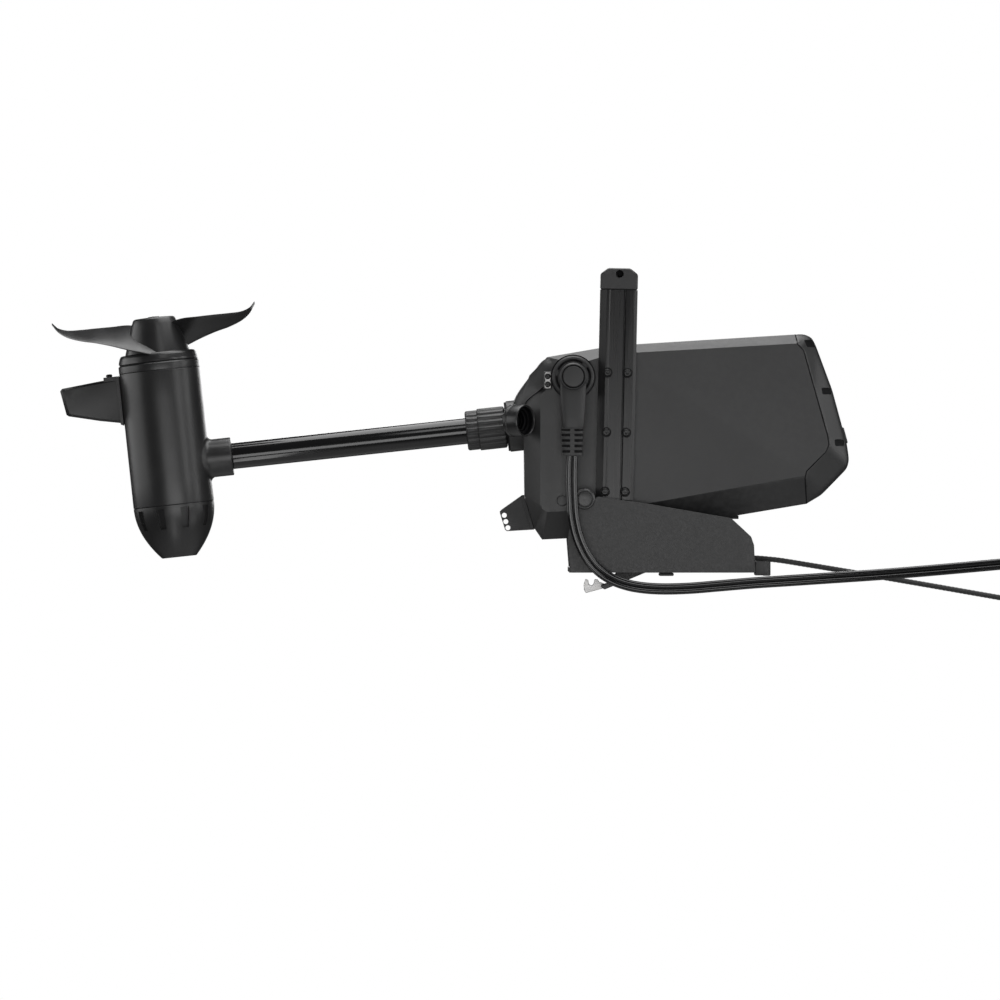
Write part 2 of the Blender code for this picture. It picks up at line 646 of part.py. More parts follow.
def gear_mesh(teeth, low, high, bore, phase):
    """A spur gear on Z. Trapezoid teeth narrowed for backlash; tooth 0 points along the angle `phase`."""
    pitch_radius = GEAR_MODULE * teeth / 2
    tip = pitch_radius + 0.8 * GEAR_MODULE
    root = pitch_radius - 1.15 * GEAR_MODULE
    pitch_angle = 2 * math.pi / teeth
    outline = []
    for tooth in range(teeth):
        middle = phase + tooth * pitch_angle
        for radius, share in ((root, -0.36), (tip, -0.12), (tip, 0.12), (root, 0.36)):
            angle = middle + share * pitch_angle
            outline.append((radius * math.cos(angle), radius * math.sin(angle)))
    if not bore:
        return rings_mesh([[(x, y, z) for x, y in outline] for z in (low, high)])
    inner = []
    for k in range(len(outline)):
        angle = math.atan2(outline[k][1], outline[k][0])
        inner.append((bore * math.cos(angle), bore * math.sin(angle)))
    levels = ((inner, low), (outline, low), (outline, high), (inner, high))
    return rings_mesh([[(x, y, z) for x, y in ring] for ring, z in levels], closed=True)


# ---- shaft, collar and motor --------------------------------------------------------------------------


def make_collar():
    """The ribbed clamp nut: a plain lip, then a ribbed grip with a step where it meets the neck."""
    steps = 2 * COLLAR_RIBS

    def ribbed(radius, depth, height):
        ring = []
        for k in range(steps):
            angle = 2 * math.pi * k / steps
            reach = radius - depth * (k % 2)
            ring.append((reach * math.cos(angle), reach * math.sin(angle), height))
        return ring

    def plain(radius, height):
        return ribbed(radius, 0, height)

    start, end = COLLAR_START, COLLAR_END
    inner = STEERING_TUBE_RADIUS + 0.5 * MM
    rings = [
        plain(15.2 * MM, start),
        ribbed(20.6 * MM, 0, start),
        ribbed(21.6 * MM, 1.2 * MM, start + 1.5 * MM),
        ribbed(21.6 * MM, 1.2 * MM, start + 13.5 * MM),
        ribbed(22.9 * MM, 1.3 * MM, start + 14.5 * MM),
        ribbed(22.9 * MM, 1.3 * MM, end - 1.2 * MM),
        ribbed(21.4 * MM, 0, end),
        plain(inner, end),
        plain(inner, start + 4 * MM),
        plain(15.2 * MM, start + 4 * MM),
    ]
    add("clamp_collar", rings_mesh(rings, closed=True), BLACK, lower_unit, turn=ALONG_X)
    start += 5 * MM
    collet = [(14.75 * MM, start), (16.6 * MM, start), (18.6 * MM, start + 8 * MM)]
    collet += [(18.6 * MM, start + 12 * MM), (14.75 * MM, start + 12 * MM)]
    ring = add("collet", turned(collet, 32), BLACK, lower_unit, turn=ALONG_X)
    split = block((start - 5 * MM, start + 17 * MM), (-1 * MM, 1 * MM), (0, 30 * MM))
    cut(ring, add("collet_split", split, None, lower_unit))


def nose_profile(inside=0.0):
    """The nose's outer curve from its seam down to the flat tip, moved in by the wall where asked."""
    points = []
    steps = 6
    for k in range(steps + 1):
        share = k / steps
        bulge = (1 - share**2.2) ** 0.85
        radius = NOSE_FLAT_RADIUS + (MOTOR_RADIUS - NOSE_FLAT_RADIUS) * bulge
        points.append((radius - inside, MOTOR_LOW - GAP - share * (NOSE_LENGTH - inside)))
    return points


def make_lower_unit():
    shaft = tube(SHAFT_BORE, SHAFT_RADIUS, SHAFT_START, SHAFT_END, 32)
    add("shaft_tube", shaft, GLOSS, lower_unit, turn=ALONG_X)

    inner = MOTOR_RADIUS - MOTOR_WALL
    body = rod(MOTOR_RADIUS, MOTOR_LOW, MOTOR_HIGH, 40)
    housing = add("motor_housing", body, PAINT, lower_unit)
    boss_profile = [(23.4 * MM, 30 * MM), (23.4 * MM, 43 * MM), (BOSS_RADIUS, 50 * MM)]
    boss_profile += [(BOSS_RADIUS, BOSS_REACH - 1 * MM), (BOSS_RADIUS - 1 * MM, BOSS_REACH)]
    boss = turned(boss_profile, 32, closed=False)
    join(housing, add("shaft_boss", boss, None, lower_unit, turn=ALONG_X))
    bore = rod(inner, MOTOR_LOW - 5 * MM, MOTOR_HIGH + 5 * MM, 40)
    cut(housing, add("motor_bore", bore, None, lower_unit))
    socket = rod(SHAFT_RADIUS + GAP, 20 * MM, 80 * MM, 32)
    cut(housing, add("shaft_socket", socket, None, lower_unit, turn=ALONG_X))

    add("stator", tube(30.5 * MM, inner - GAP, -34 * MM, 46 * MM, 32), COPPER, lower_unit)
    add("motor_bearing", tube(PROP_SHAFT_RADIUS + GAP, 13 * MM, 92 * MM, 100 * MM, 24), STEEL, lower_unit)
    seat = 13.3 * MM
    bell = [
        (seat, 91 * MM), (16.6 * MM, 91 * MM), (16.6 * MM, MOTOR_HIGH + GAP),
        (MOTOR_RADIUS, MOTOR_HIGH + GAP),
        (MOTOR_RADIUS, BELL_HIGH - 0.8 * MM), (MOTOR_RADIUS - 0.8 * MM, BELL_HIGH),
        (PROP_SHAFT_RADIUS + GAP, BELL_HIGH), (PROP_SHAFT_RADIUS + GAP, MOTOR_HIGH), (seat, MOTOR_HIGH),
    ]
    add("rear_bell", turned(bell, 40), PAINT, lower_unit)

    outer = nose_profile()
    cavity = [(r, z) for r, z in nose_profile(MOTOR_WALL) if r > 10 * MM][:-1]
    floor = MOTOR_LOW - NOSE_LENGTH + 6 * MM
    cavity = [(r, max(z, floor)) for r, z in cavity]
    pocket = PROP_SHAFT_RADIUS + GAP
    profile = outer + [(0, outer[-1][1]), (0, floor - 2 * MM), (pocket, floor - 2 * MM), (pocket, floor)]
    profile += [(r, z) for r, z in reversed(cavity)]
    nose = add("nose_cone", turned(profile, 36), PAINT, lower_unit)
    for k in range(NOSE_SLOTS):
        angle = 2 * math.pi * (k + 0.5) / NOSE_SLOTS
        slot = prism(mm((-5, -3.5), (5, -3.5), (3, -25.5), (-3, -25.5)), 0, 10 * MM)
        at = Vector((math.sin(angle), -math.cos(angle), 0)) * (MOTOR_RADIUS - 1.6 * MM)
        place = (at.x, at.y, MOTOR_LOW)
        cutter = add(f"nose_slot_{k}", slot, None, lower_unit, place, (0, 0, angle + math.pi))
        cut(nose, cutter)

    make_skeg()


def make_skeg():
    half = 3.2 * MM
    pad = [(-45.1, 46), (-45.1, 101), (-48.2, 99.5), (-48.2, 47.5)]
    blade_root = -47 * MM
    outline = mm((-66, 97.4), (-108.6, 93.6), (-111, 91), (-106.8, 64.6), (-104.4, 62.6), (-70.8, 53.9))
    rings = []
    for y, shrink in ((-half, 2.6 * MM), (-0.9 * MM, 0), (0.9 * MM, 0), (half, 2.6 * MM)):
        ring = [(blade_root, 98.6 * MM - shrink)] + outline + [(blade_root, 49 * MM + shrink)]
        middle = Vector((-82 * MM, 76 * MM))
        for i in range(1, len(ring) - 1):
            point = Vector(ring[i])
            inward = (middle - point).normalized() * shrink
            ring[i] = tuple(point + inward * 1.4)
        rings.append([(x, y, z) for x, z in ring])
    blade = rings_mesh(rings)
    skeg = add("skeg", blade, PAINT, lower_unit)
    foot = prism(mm(*pad), -7 * MM, 7 * MM)
    lug = prism(mm((-47, 96), (-47, 100.7), (-62, 100.7), (-62, 96)), -5 * MM, 5 * MM)
    join(skeg, add("skeg_foot", foot, None, lower_unit))
    join(skeg, add("skeg_lug", lug, None, lower_unit))
    around = rod(MOTOR_RADIUS + GAP, 40 * MM, 110 * MM, 48)
    cut(skeg, add("skeg_round", around, None, lower_unit))
    screw = turned(mm((3.4, 101.1), (3.6, 103.2), (2.4, 104.4)), 16, closed=False)
    add("skeg_screw", screw, STEEL, lower_unit, (-55.6 * MM, 0, 0))


# The blade's two edges from inside the hub to the tip, in the motor's frame. The blade points along -X.
LEADING_EDGE = mm(
    (4, -37, 117.5), (-12, -42.5, 121.5), (-30, -38, 127), (-47.7, -31.5, 133.5), (-64.8, -27.5, 138.8),
    (-80.3, -24.5, 142.5), (-95, -19.9, 147.9), (-105, -14.7, 154.9), (-111.7, -8.7, 164.2),
)
TRAILING_EDGE = mm(
    (-4, 20, 150), (-16, 24, 153.5), (-31.6, 24.5, 156.2), (-49, 24.6, 156.1), (-66.4, 22.3, 156.3),
    (-81.9, 18.8, 156.3), (-96.2, 12.7, 156.9), (-105.8, 6.6, 160.3), (-112, 0, 166.6),
)
BLADE_ROOT_THICK = 7 * MM
BLADE_TIP_THICK = 1.6 * MM
# A cambered section: share of the chord, and height in half thicknesses.
BLADE_SECTION = ((0, 0), (0.2, 0.8), (0.55, 1), (0.85, 0.6), (1, 0), (0.85, -0.2), (0.5, -0.3), (0.2, -0.25))


def blade_mesh():
    rings = []
    last = len(LEADING_EDGE) - 1
    for i in range(last + 1):
        front = Vector(LEADING_EDGE[i])
        chord = Vector(TRAILING_EDGE[i]) - front
        before = max(i - 1, 0)
        after = min(i + 1, last)
        span = Vector(LEADING_EDGE[after]) - Vector(LEADING_EDGE[before])
        span += Vector(TRAILING_EDGE[after]) - Vector(TRAILING_EDGE[before])
        normal = span.cross(chord).normalized()
        if normal.z < 0:
            normal = -normal
        half = (BLADE_ROOT_THICK + (BLADE_TIP_THICK - BLADE_ROOT_THICK) * i / last) / 2
        rings.append([front + chord * share + normal * half * height for share, height in BLADE_SECTION])
    return rings_mesh(rings)


def make_propeller():
    low = BELL_HIGH + 1.2 * MM
    bore = PROP_SHAFT_RADIUS + GAP
    hub = [
        (43.8 * MM, low), (43.8 * MM, low + 2 * MM), (40 * MM, 120 * MM), (34.4 * MM, 128 * MM),
        (31.8 * MM, 133 * MM), (28 * MM, 148 * MM), (25 * MM, 157.6 * MM), (22 * MM, 161.4 * MM),
        (0, 163.4 * MM),
    ]
    prop = add("propeller", turned(hub, 40, closed=False), BLACK, lower_unit)
    for k in range(2):
        blade = add(f"blade_{k}", blade_mesh(), None, lower_unit, turn=(0, 0, k * math.pi))
        join(prop, blade)
    cut(prop, add("prop_bore", rod(bore, low - 5 * MM, 150 * MM, 24), None, lower_unit))
    shaft_low = MOTOR_LOW - NOSE_LENGTH + 5 * MM
    add("prop_shaft", rod(PROP_SHAFT_RADIUS, shaft_low, 149 * MM, 20), STEEL, lower_unit)
    add("rotor", tube(PROP_SHAFT_RADIUS + GAP, 29.6 * MM, -32 * MM, 44 * MM, 28), STEEL, lower_unit)


# ---- cords --------------------------------------------------------------------------------------------

# The power cable leaves the strain relief downwards, turns under the base and runs off to the battery.
CABLE_ROUTE = mm(
    (-98.1, -86, 127), (-98.6, -86, 112), (-98.6, -86, 96), (-98, -86, 80), (-96.8, -85.8, 62),
    (-93.2, -85.4, 44), (-87.4, -85, 28), (-79, -84.6, 13.4), (-68, -84.2, 1.6), (-54, -84, -7.4),
    (-38, -84, -13.2), (-20, -84, -16.4), (2, -84, -17.6), (30, -84, -16.8), (62, -84, -14.2),
    (100, -84, -11), (140, -84, -8.4), (185, -84, -5.4), (235, -84, -2), (285, -84, 2), (335, -84, 6.4),
    (386, -84, 11),
)
# The release rope runs from the lever along the inside of the base, over the guide, and off beside the cable.
ROPE_ROUTE = mm(
    (0.2, -29, 14.6), (14, -29, 15), (32, -29, 15.2), (52, -29, 15.4), (72, -29, 15.8), (90, -29, 16.3),
    (104, -29, 16.4), (116, -29.4, 15.2), (132, -30, 12.8), (160, -31, 8.3), (195, -32, 2.5),
    (235, -33, -4.2), (280, -34, -11.9), (330, -35, -20.6), (386, -36, -30.4),
)


def make_cords():
    cord("power_cable", CABLE_ROUTE, CABLE_RADIUS, 22 * MM, RUBBER, 2)
    lead_end = Vector(CABLE_ROUTE[-1])
    slope = lead_end - Vector(CABLE_ROUTE[-2])
    turn = (0, -math.atan2(slope.z, slope.x), 0)
    plug = block(*mm((0.3, 46), (-8, 8), (-13, 13)), bevel=2 * MM)
    add("battery_connector", plug, BLACK, at=lead_end, turn=turn)

    cord("pull_rope", ROPE_ROUTE, ROPE_RADIUS, 16 * MM, RUBBER, 2)
    rope_end = Vector(ROPE_ROUTE[-1])
    slope = (rope_end - Vector(ROPE_ROUTE[-2])).normalized()
    handle = turned(mm((5, -38), (8, -36), (9.6, -30), (8, 0), (9.6, 30), (8, 36), (5, 38)), 20, closed=False)
    add("pull_handle", handle, BLACK, at=rope_end + slope * 9.2 * MM, turn=ALONG_Y)


make_base()
make_lever()
make_steering_housing()
make_electronics_housing()
make_end_cap()
make_arm()
make_trim_plate()
make_power_plug()
make_cable_port()
make_steering()
make_collar()
make_lower_unit()
make_propeller()
make_cords()
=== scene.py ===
"""The looks of the trolling motor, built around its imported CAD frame.

Metres, +Z up, in the frame's own axes. Sizes are written in millimetres and multiplied by MM.
"""

import json
import math

import bmesh
import bpy
from mathutils import Matrix, Vector
from mathutils.bvhtree import BVHTree


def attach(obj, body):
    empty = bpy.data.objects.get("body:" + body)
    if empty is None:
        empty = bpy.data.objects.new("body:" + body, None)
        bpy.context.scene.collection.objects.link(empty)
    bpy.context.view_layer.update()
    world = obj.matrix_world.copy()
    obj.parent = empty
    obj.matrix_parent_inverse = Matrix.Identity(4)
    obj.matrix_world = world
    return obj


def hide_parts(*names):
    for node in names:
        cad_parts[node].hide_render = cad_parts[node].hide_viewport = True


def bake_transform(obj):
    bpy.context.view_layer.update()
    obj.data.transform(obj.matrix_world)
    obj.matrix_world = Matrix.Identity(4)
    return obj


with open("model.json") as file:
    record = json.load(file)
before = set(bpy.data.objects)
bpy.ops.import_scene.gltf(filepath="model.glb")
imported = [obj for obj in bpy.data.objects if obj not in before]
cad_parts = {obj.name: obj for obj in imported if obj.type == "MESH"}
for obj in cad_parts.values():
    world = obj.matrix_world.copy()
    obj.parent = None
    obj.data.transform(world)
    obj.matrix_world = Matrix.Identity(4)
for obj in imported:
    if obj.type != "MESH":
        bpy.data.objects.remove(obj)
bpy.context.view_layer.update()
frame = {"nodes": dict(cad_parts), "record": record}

MM = 0.001


# ---- the frame's driving dimensions ----

SHAFT_TILT = math.radians(6.13)
MOTOR_CENTRE = Vector((-540.4, 0, 120)) * MM
PIVOT = Vector((-84.4, 0, 80.2)) * MM
LEVER_PIVOT = Vector((-12, 0, 26)) * MM
SOCKET_CENTRE = Vector((-96.8, 0, 213.4)) * MM
ARM_FOOT = Vector((-51.8, 0, 79.5)) * MM
ARM_LEAN = math.radians(1.24)

HEAD_HALF = 58
PLATE_REACH = 75.5
MOTOR_RADIUS = 44.45
MOTOR_LOW = -46.2
MOTOR_HIGH = 102
BELL_HIGH = 111
SHAFT_RADIUS = 14.3
CABLE_DEPTH = 86

ON_X = Matrix.Rotation(math.pi / 2, 4, "Y")
TO_NEAR = Matrix.Rotation(math.pi / 2, 4, "X")
TO_FAR = Matrix.Rotation(-math.pi / 2, 4, "X")
LOWER_UNIT = Matrix.Translation(MOTOR_CENTRE) @ Matrix.Rotation(-SHAFT_TILT, 4, "Y")
SHAFT_AXIS = LOWER_UNIT @ ON_X
ARM = Matrix.Translation(ARM_FOOT) @ Matrix.Rotation(ARM_LEAN, 4, "Y")

NODE_SLOT = {part["node"]: part["material_slot"] for part in frame["record"]["subparts"]}
NODE_BODY = {
    node: body for body, nodes in frame["record"]["behaviour"]["bodies"].items() for node in nodes
}


# ---- mesh helpers ----

# A profile's points this close to the axis, in millimetres, lie on it.
ON_AXIS = 1e-4
# A fillet takes at most this share of an edge, and skips a corner that is straighter than this.
FILLET_SHARE = 0.45
NEARLY_STRAIGHT = math.radians(172)
# A CAD mesh's points closer than this, in metres, are one, and faces within this angle are one flat.
WELD = 2e-6
FLAT_ANGLE = math.radians(0.8)


def mm(*rows):
    """Points written in millimetres, as metres."""
    return [tuple(value * MM for value in row) for row in rows]


def at(x, y, z):
    """A move by a distance written in millimetres."""
    return Matrix.Translation(Vector((x, y, z)) * MM)


def turn_angles(steps):
    """Even angles round a circle."""
    return [2 * math.pi * k / steps for k in range(steps)]


def fillet(points, radius, steps=4, closed=True):
    """A flat outline with its corners rounded; an open one keeps its two ends."""
    rounded = []
    count = len(points)
    for i, point in enumerate(points):
        here = Vector(point)
        if not closed and i in (0, count - 1):
            rounded.append(tuple(here))
            continue
        before = Vector(points[i - 1]) - here
        after = Vector(points[(i + 1) % count]) - here
        corner = before.angle(after, math.pi)
        if corner > NEARLY_STRAIGHT:
            rounded.append(tuple(here))
            continue
        room = FILLET_SHARE * min(before.length, after.length)
        reach = min(radius / math.tan(corner / 2), room)
        first = here + before.normalized() * reach
        last = here + after.normalized() * reach
        for k in range(steps + 1):
            t = k / steps
            rounded.append(tuple(first * (1 - t) ** 2 + here * 2 * t * (1 - t) + last * t**2))
    return rounded


def rings_mesh(rings, closed=False, caps=True):
    """A mesh through rings of points, all of one length; a ring of one point is a tip."""
    bm = bmesh.new()
    made = [[bm.verts.new(point) for point in ring] for ring in rings]
    pairs = list(zip(made, made[1:]))
    if closed:
        pairs.append((made[-1], made[0]))
    for low, high in pairs:
        count = max(len(low), len(high))
        for i in range(count if count > 1 else 0):
            j = (i + 1) % count
            corners = [low[i % len(low)], low[j % len(low)], high[j % len(high)], high[i % len(high)]]
            bm.faces.new(list(dict.fromkeys(corners)))
    if caps and not closed:
        for ring in (made[0], made[-1]):
            if len(ring) > 2:
                bm.faces.new(ring)
    return bm


def circle(radius):
    return lambda angle: radius


def shaped_lathe(rings, steps, closed=False):
    """Rings of (radius by angle, height), in millimetres, turned about Z; one without a radius is a tip."""
    made = []
    for reach, height in rings:
        angles = turn_angles(steps) if reach(0) > ON_AXIS else [0]
        made.append(mm(*((reach(a) * math.cos(a), reach(a) * math.sin(a), height) for a in angles)))
    return rings_mesh(made, closed=closed)


def lathe(profile, steps=96, closed=True):
    """The profile's (radius, height) points, in millimetres, turned about Z."""
    return shaped_lathe([(circle(radius), height) for radius, height in profile], steps, closed)


def hoop(inner, outer, low, high, steps=96):
    """A ring with a rectangular section."""
    return lathe([(inner, low), (outer, low), (outer, high), (inner, high)], steps)


def slab(outline, low, high):
    """The (x, z) outline, in millimetres, carried along Y."""
    return rings_mesh([[(x * MM, y * MM, z * MM) for x, z in outline] for y in (low, high)])


def box_mesh(x, y, z):
    return slab([(x[0], z[0]), (x[1], z[0]), (x[1], z[1]), (x[0], z[1])], y[0], y[1])


def merge(*parts):
    """Several meshes as one."""
    whole = bmesh.new()
    for part in parts:
        scratch = bpy.data.meshes.new("scratch")
        part.to_mesh(scratch)
        part.free()
        whole.from_mesh(scratch)
        bpy.data.meshes.remove(scratch)
    return whole


def to_object(name, bm, place=Matrix.Identity(4), sharp=32):
    """The mesh as an object whose own place is the origin, so that its textures run in the frame's metres."""
    bm.transform(place)
    bmesh.ops.recalc_face_normals(bm, faces=bm.faces)
    mesh = bpy.data.meshes.new(name)
    bm.to_mesh(mesh)
    bm.free()
    mesh.shade_smooth()
    mesh.set_sharp_from_angle(angle=math.radians(sharp))
    obj = bpy.data.objects.new(name, mesh)
    bpy.context.scene.collection.objects.link(obj)
    return obj


def settle(obj, cutters=()):
    """Applies the object's modifiers and removes its cutters."""
    graph = bpy.context.evaluated_depsgraph_get()
    mesh = bpy.data.meshes.new_from_object(obj.evaluated_get(graph))
    obj.modifiers.clear()
    obj.data = mesh
    for cutter in cutters:
        bpy.data.objects.remove(cutter)
    return obj


def cut_out(obj, cutters, operation="DIFFERENCE"):
    """Cuts the cutters out of obj, or does another boolean with them."""
    for cutter in cutters:
        hole = obj.modifiers.new("cut", "BOOLEAN")
        hole.operation = operation
        hole.solver = "EXACT"
        hole.object = cutter


def round_edges(obj, width, segments=3, angle=30, cutters=()):
    """Cuts the cutters out of obj, then rounds its sharp edges."""
    cut_out(obj, cutters)
    bevel = obj.modifiers.new("edges", "BEVEL")
    bevel.width = width * MM
    bevel.segments = segments
    bevel.limit_method = "ANGLE"
    bevel.angle_limit = math.radians(angle)
    bevel.harden_normals = True
    return settle(obj, cutters)


def dress(obj, look):
    obj.data.materials.clear()
    obj.data.materials.append(look)
    return obj


def belong(obj, node, look=None, slot=None):
    """obj is a further piece on the body of that node, dressed in the finish of the node's slot unless
    another slot or finish is given.
    """
    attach(obj, NODE_BODY[node])
    slot = slot or NODE_SLOT[node]
    return dress(obj, look or LOOKS[slot])


def stand_for(obj, node, look=None):
    """obj takes the place of a CAD node, which it hides: it goes on the node's body and takes the finish of
    its material slot.
    """
    belong(obj, node, look)
    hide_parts(node)
    return obj


def shade_piece(name, bm, place, node):
    """A thin near-black piece of painted shade in a joint, groove or recess of that node, where shade falls.
    """
    belong(to_object(name, bm, place), node, PAINTED_SHADE, "black_rubber")


def cad_copy(node):
    """A CAD node's solid with its flat faces made whole, as a new object."""
    bm = bmesh.new()
    bm.from_mesh(frame["nodes"][node].data)
    bmesh.ops.remove_doubles(bm, verts=bm.verts, dist=WELD)
    bmesh.ops.dissolve_limit(bm, angle_limit=FLAT_ANGLE, verts=bm.verts, edges=bm.edges)
    return to_object(node + "_fine", bm, sharp=28)


def refine(node, width, segments=3, angle=30, cutters=(), look=None):
    """A CAD node with its edges rounded."""
    return stand_for(round_edges(cad_copy(node), width, segments, angle, cutters), node, look)


def finer(rows, count):
    """More points on a smooth curve through the rows."""
    held = [Vector(row) for row in rows]
    held = [2 * held[0] - held[1]] + held + [2 * held[-1] - held[-2]]
    fine = []
    for a, b, c, d in zip(held, held[1:], held[2:], held[3:]):
        for k in range(count):
            t = k / count
            curved = (2 * a - 5 * b + 4 * c - d) * t**2 + (3 * b - a - 3 * c + d) * t**3
            fine.append(0.5 * (2 * b + (c - a) * t + curved))
    return fine + [Vector(rows[-1])]


def smooth_route(points, step):
    """Evenly spaced points on a smooth curve through the points."""
    fine = finer(points, 24)
    lengths = [0.0]
    for one, two in zip(fine, fine[1:]):
        lengths.append(lengths[-1] + (two - one).length)
    count = max(2, round(lengths[-1] / step))
    route = []
    index = 0
    for k in range(count + 1):
        target = lengths[-1] * k / count
        while index < len(fine) - 2 and lengths[index + 1] < target:
            index += 1
        share = (target - lengths[index]) / (lengths[index + 1] - lengths[index])
        route.append(fine[index].lerp(fine[index + 1], min(1.0, share)))
    return route


def swept(route, section):
    """Carries a section along a route near the XZ plane; section(i) gives its (across, depth) points."""
    rings = []
    last = len(route) - 1
    for i, place in enumerate(route):
        along = (route[min(i + 1, last)] - route[max(i - 1, 0)]).normalized()
        depth = (Vector((0, 1, 0)) - along * along.y).normalized()
        across = along.cross(depth)
        rings.append([place + across * u * MM + depth * v * MM for u, v in section(i)])
    return rings_mesh(rings)


# ---- materials ----

class Look:
    """A Principled material with its texture nodes, all in the object's own coordinates."""

    def __init__(self, name, roughness, metallic=0.0, specular=0.5):
        self.material = bpy.data.materials.new(name)
        self.material.use_nodes = True
        self.nodes = self.material.node_tree.nodes
        self.links = self.material.node_tree.links
        self.shader = self.nodes["Principled BSDF"]
        self.shader.inputs["Roughness"].default_value = roughness
        self.shader.inputs["Metallic"].default_value = metallic
        self.shader.inputs["Specular IOR Level"].default_value = specular
        self.place = self.nodes.new("ShaderNodeTexCoord").outputs["Object"]

    def noise(self, size, detail=3.0, stretch=(1, 1, 1), distortion=0.0):
        """Noise whose features are about size millimetres across."""
        mapping = self.nodes.new("ShaderNodeMapping")
        mapping.inputs["Scale"].default_value = stretch
        self.links.new(self.place, mapping.inputs["Vector"])
        noise = self.nodes.new("ShaderNodeTexNoise")
        noise.inputs["Scale"].default_value = 1 / (size * MM)
        noise.inputs["Detail"].default_value = detail
        noise.inputs["Distortion"].default_value = distortion
        self.links.new(mapping.outputs["Vector"], noise.inputs["Vector"])
        return noise.outputs["Fac"]

    def spread(self, value, low, high, start=0.3, end=0.7):
        """The value's range start..end as low..high."""
        node = self.nodes.new("ShaderNodeMapRange")
        node.inputs["From Min"].default_value = start
        node.inputs["From Max"].default_value = end
        node.inputs["To Min"].default_value = low
        node.inputs["To Max"].default_value = high
        self.links.new(value, node.inputs["Value"])
        return node.outputs["Result"]

    def mix(self, share, one, two):
        """A colour between two, each a colour or a socket."""
        node = self.nodes.new("ShaderNodeMix")
        node.data_type = "RGBA"
        self.links.new(share, node.inputs["Factor"])
        for label, colour in (("A", one), ("B", two)):
            socket = [s for s in node.inputs if s.name == label and s.type == "RGBA"][0]
            if isinstance(colour, bpy.types.NodeSocket):
                self.links.new(colour, socket)
            else:
                socket.default_value = (*colour, 1)
        return [s for s in node.outputs if s.type == "RGBA"][0]

    def worn(self, amount=1.0):
        """Where the surface is convex, broken up by noise: 0 on flats and up to amount on edges."""
        geometry = self.nodes.new("ShaderNodeNewGeometry")
        edge = self.spread(geometry.outputs["Pointiness"], 0, amount, 0.51, 0.6)
        broken = self.spread(self.noise(6, 6), 0.1, 1, 0.35, 0.65)
        times = self.nodes.new("ShaderNodeMath")
        times.operation = "MULTIPLY"
        self.links.new(edge, times.inputs[0])
        self.links.new(broken, times.inputs[1])
        return times.outputs["Value"]

    def colour(self, value):
        self.links.new(value, self.shader.inputs["Base Color"])

    def tones(self, value, one, two, rub=0.0, bare=0.0):
        """The base colour runs from one to two with the value, and turns to a bare grey on rubbed edges."""
        base = self.mix(self.spread(value, 0, 1), one, two)
        self.colour(self.mix(self.worn(rub), base, grey(bare)) if rub else base)

    def rough(self, value, low, high):
        self.links.new(self.spread(value, low, high), self.shader.inputs["Roughness"])

    def bump(self, *heights):
        """Each height is (socket, distance in millimetres)."""
        normal = None
        for value, distance in heights:
            node = self.nodes.new("ShaderNodeBump")
            node.inputs["Distance"].default_value = distance * MM
            node.inputs["Strength"].default_value = 1.0
            self.links.new(value, node.inputs["Height"])
            if normal:
                self.links.new(normal, node.inputs["Normal"])
            normal = node.outputs["Normal"]
        self.links.new(normal, self.shader.inputs["Normal"])


def grey(value, warm=0.0):
    return (value * (1 + warm), value, value * (1 - warm) + 0.0004)


def moulded_plastic(name="moulded_plastic", dark=0.0130, light=0.0165, grain=0.035, rough=(0.425, 0.45)):
    """Injection-moulded nylon: fine spark-eroded grain, faint flow clouding, edges a little rubbed."""
    look = Look(name, 0.45)
    look.tones(look.noise(70, 3, distortion=0.4), grey(dark), grey(light), 0.25, 0.06)
    look.rough(look.noise(24, 4), *rough)
    look.bump((look.noise(0.7, 2), grain))
    return look.material


def mottled_plastic():
    """The base's side plates: a duller moulding with a coarse leathery grain."""
    look = Look("mottled_plastic", 0.55)
    mottle = look.spread(look.noise(3.2, 6, distortion=1.6), 0, 1, 0.36, 0.64)
    base = look.mix(mottle, grey(0.015), grey(0.0225))
    look.colour(look.mix(look.worn(0.3), base, grey(0.07)))
    look.rough(look.noise(3, 6), 0.46, 0.6)
    look.bump((look.noise(2.2, 5, distortion=1.2), 0.14), (look.noise(0.6, 2), 0.03))
    return look.material


def powder_coat(name="powder_coat", shade=0.0125, rough=(0.34, 0.38)):
    """Satin black powder coat with its orange peel."""
    look = Look(name, 0.3)
    look.tones(look.noise(50, 3), grey(shade), grey(shade * 1.2), 0.25, 0.08)
    look.rough(look.noise(18, 4), *rough)
    look.bump((look.noise(1.8, 1), 0.004))
    return look.material


def gloss_composite():
    """The shaft: pultruded composite with a high gloss and faint rub lines along it."""
    look = Look("gloss_composite", 0.14)
    base = look.mix(look.spread(look.noise(60, 4, (0.2, 1, 1)), 0, 1), grey(0.006), grey(0.009))
    rubs = look.spread(look.noise(7, 5, (0.03, 1, 1)), 0, 1, 0.62, 0.75)
    look.colour(look.mix(rubs, base, grey(0.016)))
    look.rough(look.noise(10, 6, (0.1, 1, 1)), 0.10, 0.17)
    look.bump((look.noise(1.2, 2, (2.5, 0.3, 0.3)), 0.003))
    return look.material


def anodised():
    """Black anodised extrusion with drawing lines along its length."""
    look = Look("black_anodised", 0.3, specular=0.36)
    lines = look.noise(0.9, 3, (1, 1, 0.01))
    look.tones(lines, grey(0.008), grey(0.012))
    look.rough(look.noise(1.5, 4, (1, 1, 0.02)), 0.26, 0.33)
    look.bump((lines, 0.008))
    return look.material


def rubber(name="black_rubber", specular=0.4, dark=0.009, light=0.013):
    look = Look(name, 0.55, specular=specular)
    look.tones(look.noise(16, 5), grey(dark), grey(light), 0.25, 0.05)
    look.rough(look.noise(5, 6), 0.44, 0.58)
    look.bump((look.noise(0.7, 3), 0.03))
    return look.material


